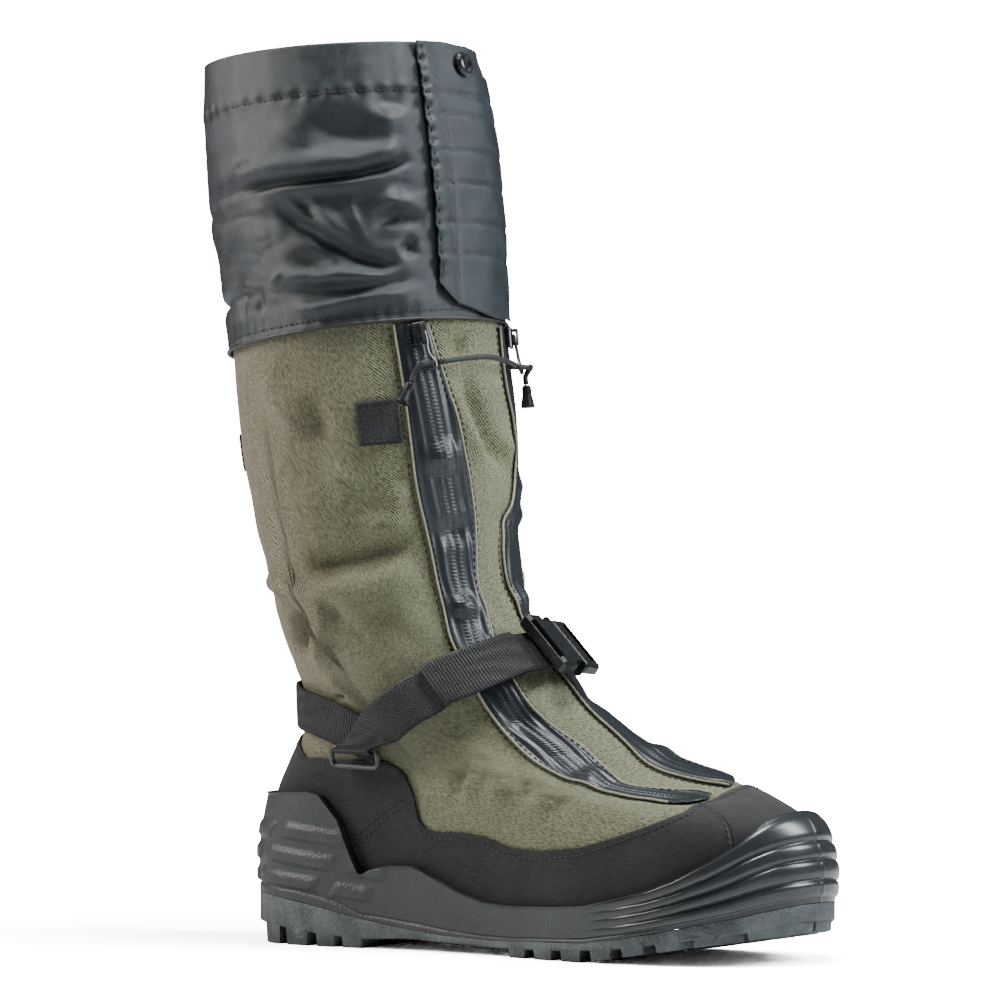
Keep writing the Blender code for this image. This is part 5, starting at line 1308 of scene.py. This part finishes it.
PATCH_RING = float(shaft_ring_at(0.2715))
PATCH_TALL = float(shaft_ring_at(0.2915)) - PATCH_RING
PATCH_HALF = math.degrees(0.0232 / SHAFT_DIAMETER)
for name, centre in (("hook_patch_lateral", -52.5), ("hook_patch_back", -159.0)):
    def patch_place(u, v, centre=centre):
        return on_canvas(centre + PATCH_HALF * (2 * u - 1), PATCH_RING + PATCH_TALL * (v - 0.5), 0.0017)

    patch = lay("hook_tape_" + name[11:], 20, 18, patch_place, hooks, 0.0013)
    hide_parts(name)
    sides = []
    for u0, v0, u1, v1 in ((0, 0, 1, 0), (1, 0, 1, 1), (1, 1, 0, 1), (0, 1, 0, 0)):
        t = np.linspace(0, 1, 12)
        u, v = 0.06 + 0.88 * (u0 + (u1 - u0) * t), 0.07 + 0.86 * (v0 + (v1 - v0) * t)
        degrees, ring = centre + PATCH_HALF * (2 * u - 1), PATCH_RING + PATCH_TALL * (v - 0.5)
        sides.append(on_canvas(degrees, ring, 0.0018))
    sew("patch_stitches_" + name[11:], sides, length=0.0022, pitch=0.0032)
print("keeper, tape and patches laid")

# %% [markdown]
# The outsole keeps its solid's shape. A real lug has rounded corners, so a merged copy of the mesh gets
# a small bevel. The hard fittings also keep their shapes and only get their finishes.

# %% Outsole and fittings
LUG_ROUNDING = 0.0011

bm = bmesh.new()
bm.from_mesh(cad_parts["outsole"].data)
bmesh.ops.remove_doubles(bm, verts=bm.verts, dist=1e-6)
bmesh.ops.dissolve_limit(bm, angle_limit=math.radians(2), verts=bm.verts, edges=bm.edges)
for face in bm.faces:
    face.smooth = True
outsole = finished(bm, "lugged_outsole", tread_rubber)
rounding = outsole.modifiers.new("rounding", "BEVEL")
rounding.width = LUG_ROUNDING
rounding.segments = 2
rounding.limit_method = "ANGLE"
rounding.angle_limit = math.radians(35)
rounding.harden_normals = False
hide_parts("outsole")

FINISHES = {
    "insole": foam, "ring_lateral": enamel, "ring_medial": enamel, "slider_lateral": enamel,
    "slider_medial": enamel, "pull_lateral": enamel, "pull_medial": enamel, "buckle_socket": acetal,
    "buckle_plug": acetal, "snap_cap": acetal, "cord_end_lateral": acetal, "cord_end_medial": acetal,
}
for node, finish in FINISHES.items():
    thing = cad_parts[node]
    for slot in thing.material_slots:
        slot.material = finish
print("fittings finished:", len(FINISHES))

# %% [markdown]
# A product studio: pure white behind, and a thin contact shadow on the floor. Two tall soft boxes stand
# left and right of the lens, so the cloth's folds are lit across, and a square one hangs above the boot.
# The white wall is bright to the lens only. The boot gets a dim room, or its blacks would turn grey.

# %% Floor and lights
bm = bmesh.new()
bmesh.ops.create_grid(bm, x_segments=2, y_segments=2, size=6.0)
mesh = bpy.data.meshes.new("floor")
bm.to_mesh(mesh)
bm.free()
floor = bpy.data.objects.new("floor", mesh)
bpy.context.scene.collection.objects.link(floor)
floor.is_shadow_catcher = True
paper = grained("white studio paper", 0.9, 1.50, (GRAIN, 900.0, 2.0), "#dcdcdc", "#e8e8e8")
floor.data.materials.append(paper)

WALL_LIGHT = 20.0
ROOM_LIGHT = 0.07
world = bpy.data.worlds.new("white room")
bpy.context.scene.world = world
world.use_nodes = True
tree = world.node_tree
back = tree.nodes["Background"]
back.inputs["Color"].default_value = (1, 1, 1, 1)
seen = add(tree, "LightPath").outputs["Is Camera Ray"]
power = add(tree, "MapRange", {"Value": seen, "To Min": ROOM_LIGHT, "To Max": WALL_LIGHT}).outputs[0]
tree.links.new(power, back.inputs["Strength"])


def soft_light(name, right, nearer, up, size, power, colour):
    """A soft box, placed in metres to the lens's right, towards the lens and up."""
    lamp = bpy.data.lights.new(name, "AREA")
    lamp.shape = "RECTANGLE"
    lamp.size, lamp.size_y = size
    lamp.energy = power
    lamp.color = colour
    made = bpy.data.objects.new(name, lamp)
    made.location = (0.10 + right * math.cos(AZIMUTH) + nearer * math.sin(AZIMUTH),
                     right * math.sin(AZIMUTH) - nearer * math.cos(AZIMUTH), up)
    made.rotation_euler = (Vector((0.05, 0, 0.2)) - made.location).to_track_quat("-Z", "Y").to_euler()
    bpy.context.scene.collection.objects.link(made)


soft_light("left box", -1.30, -0.05, 0.95, (0.40, 0.9), 27, (1.0, 0.96, 0.92))
soft_light("right box", 1.25, 0.20, 1.00, (0.45, 0.9), 31, (0.92, 0.97, 1.0))
soft_light("top box", 0.2, 0.22, 1.8, (0.45, 0.45), 36, (0.97, 1.0, 1.0))
print("lights:", len(bpy.data.lights))
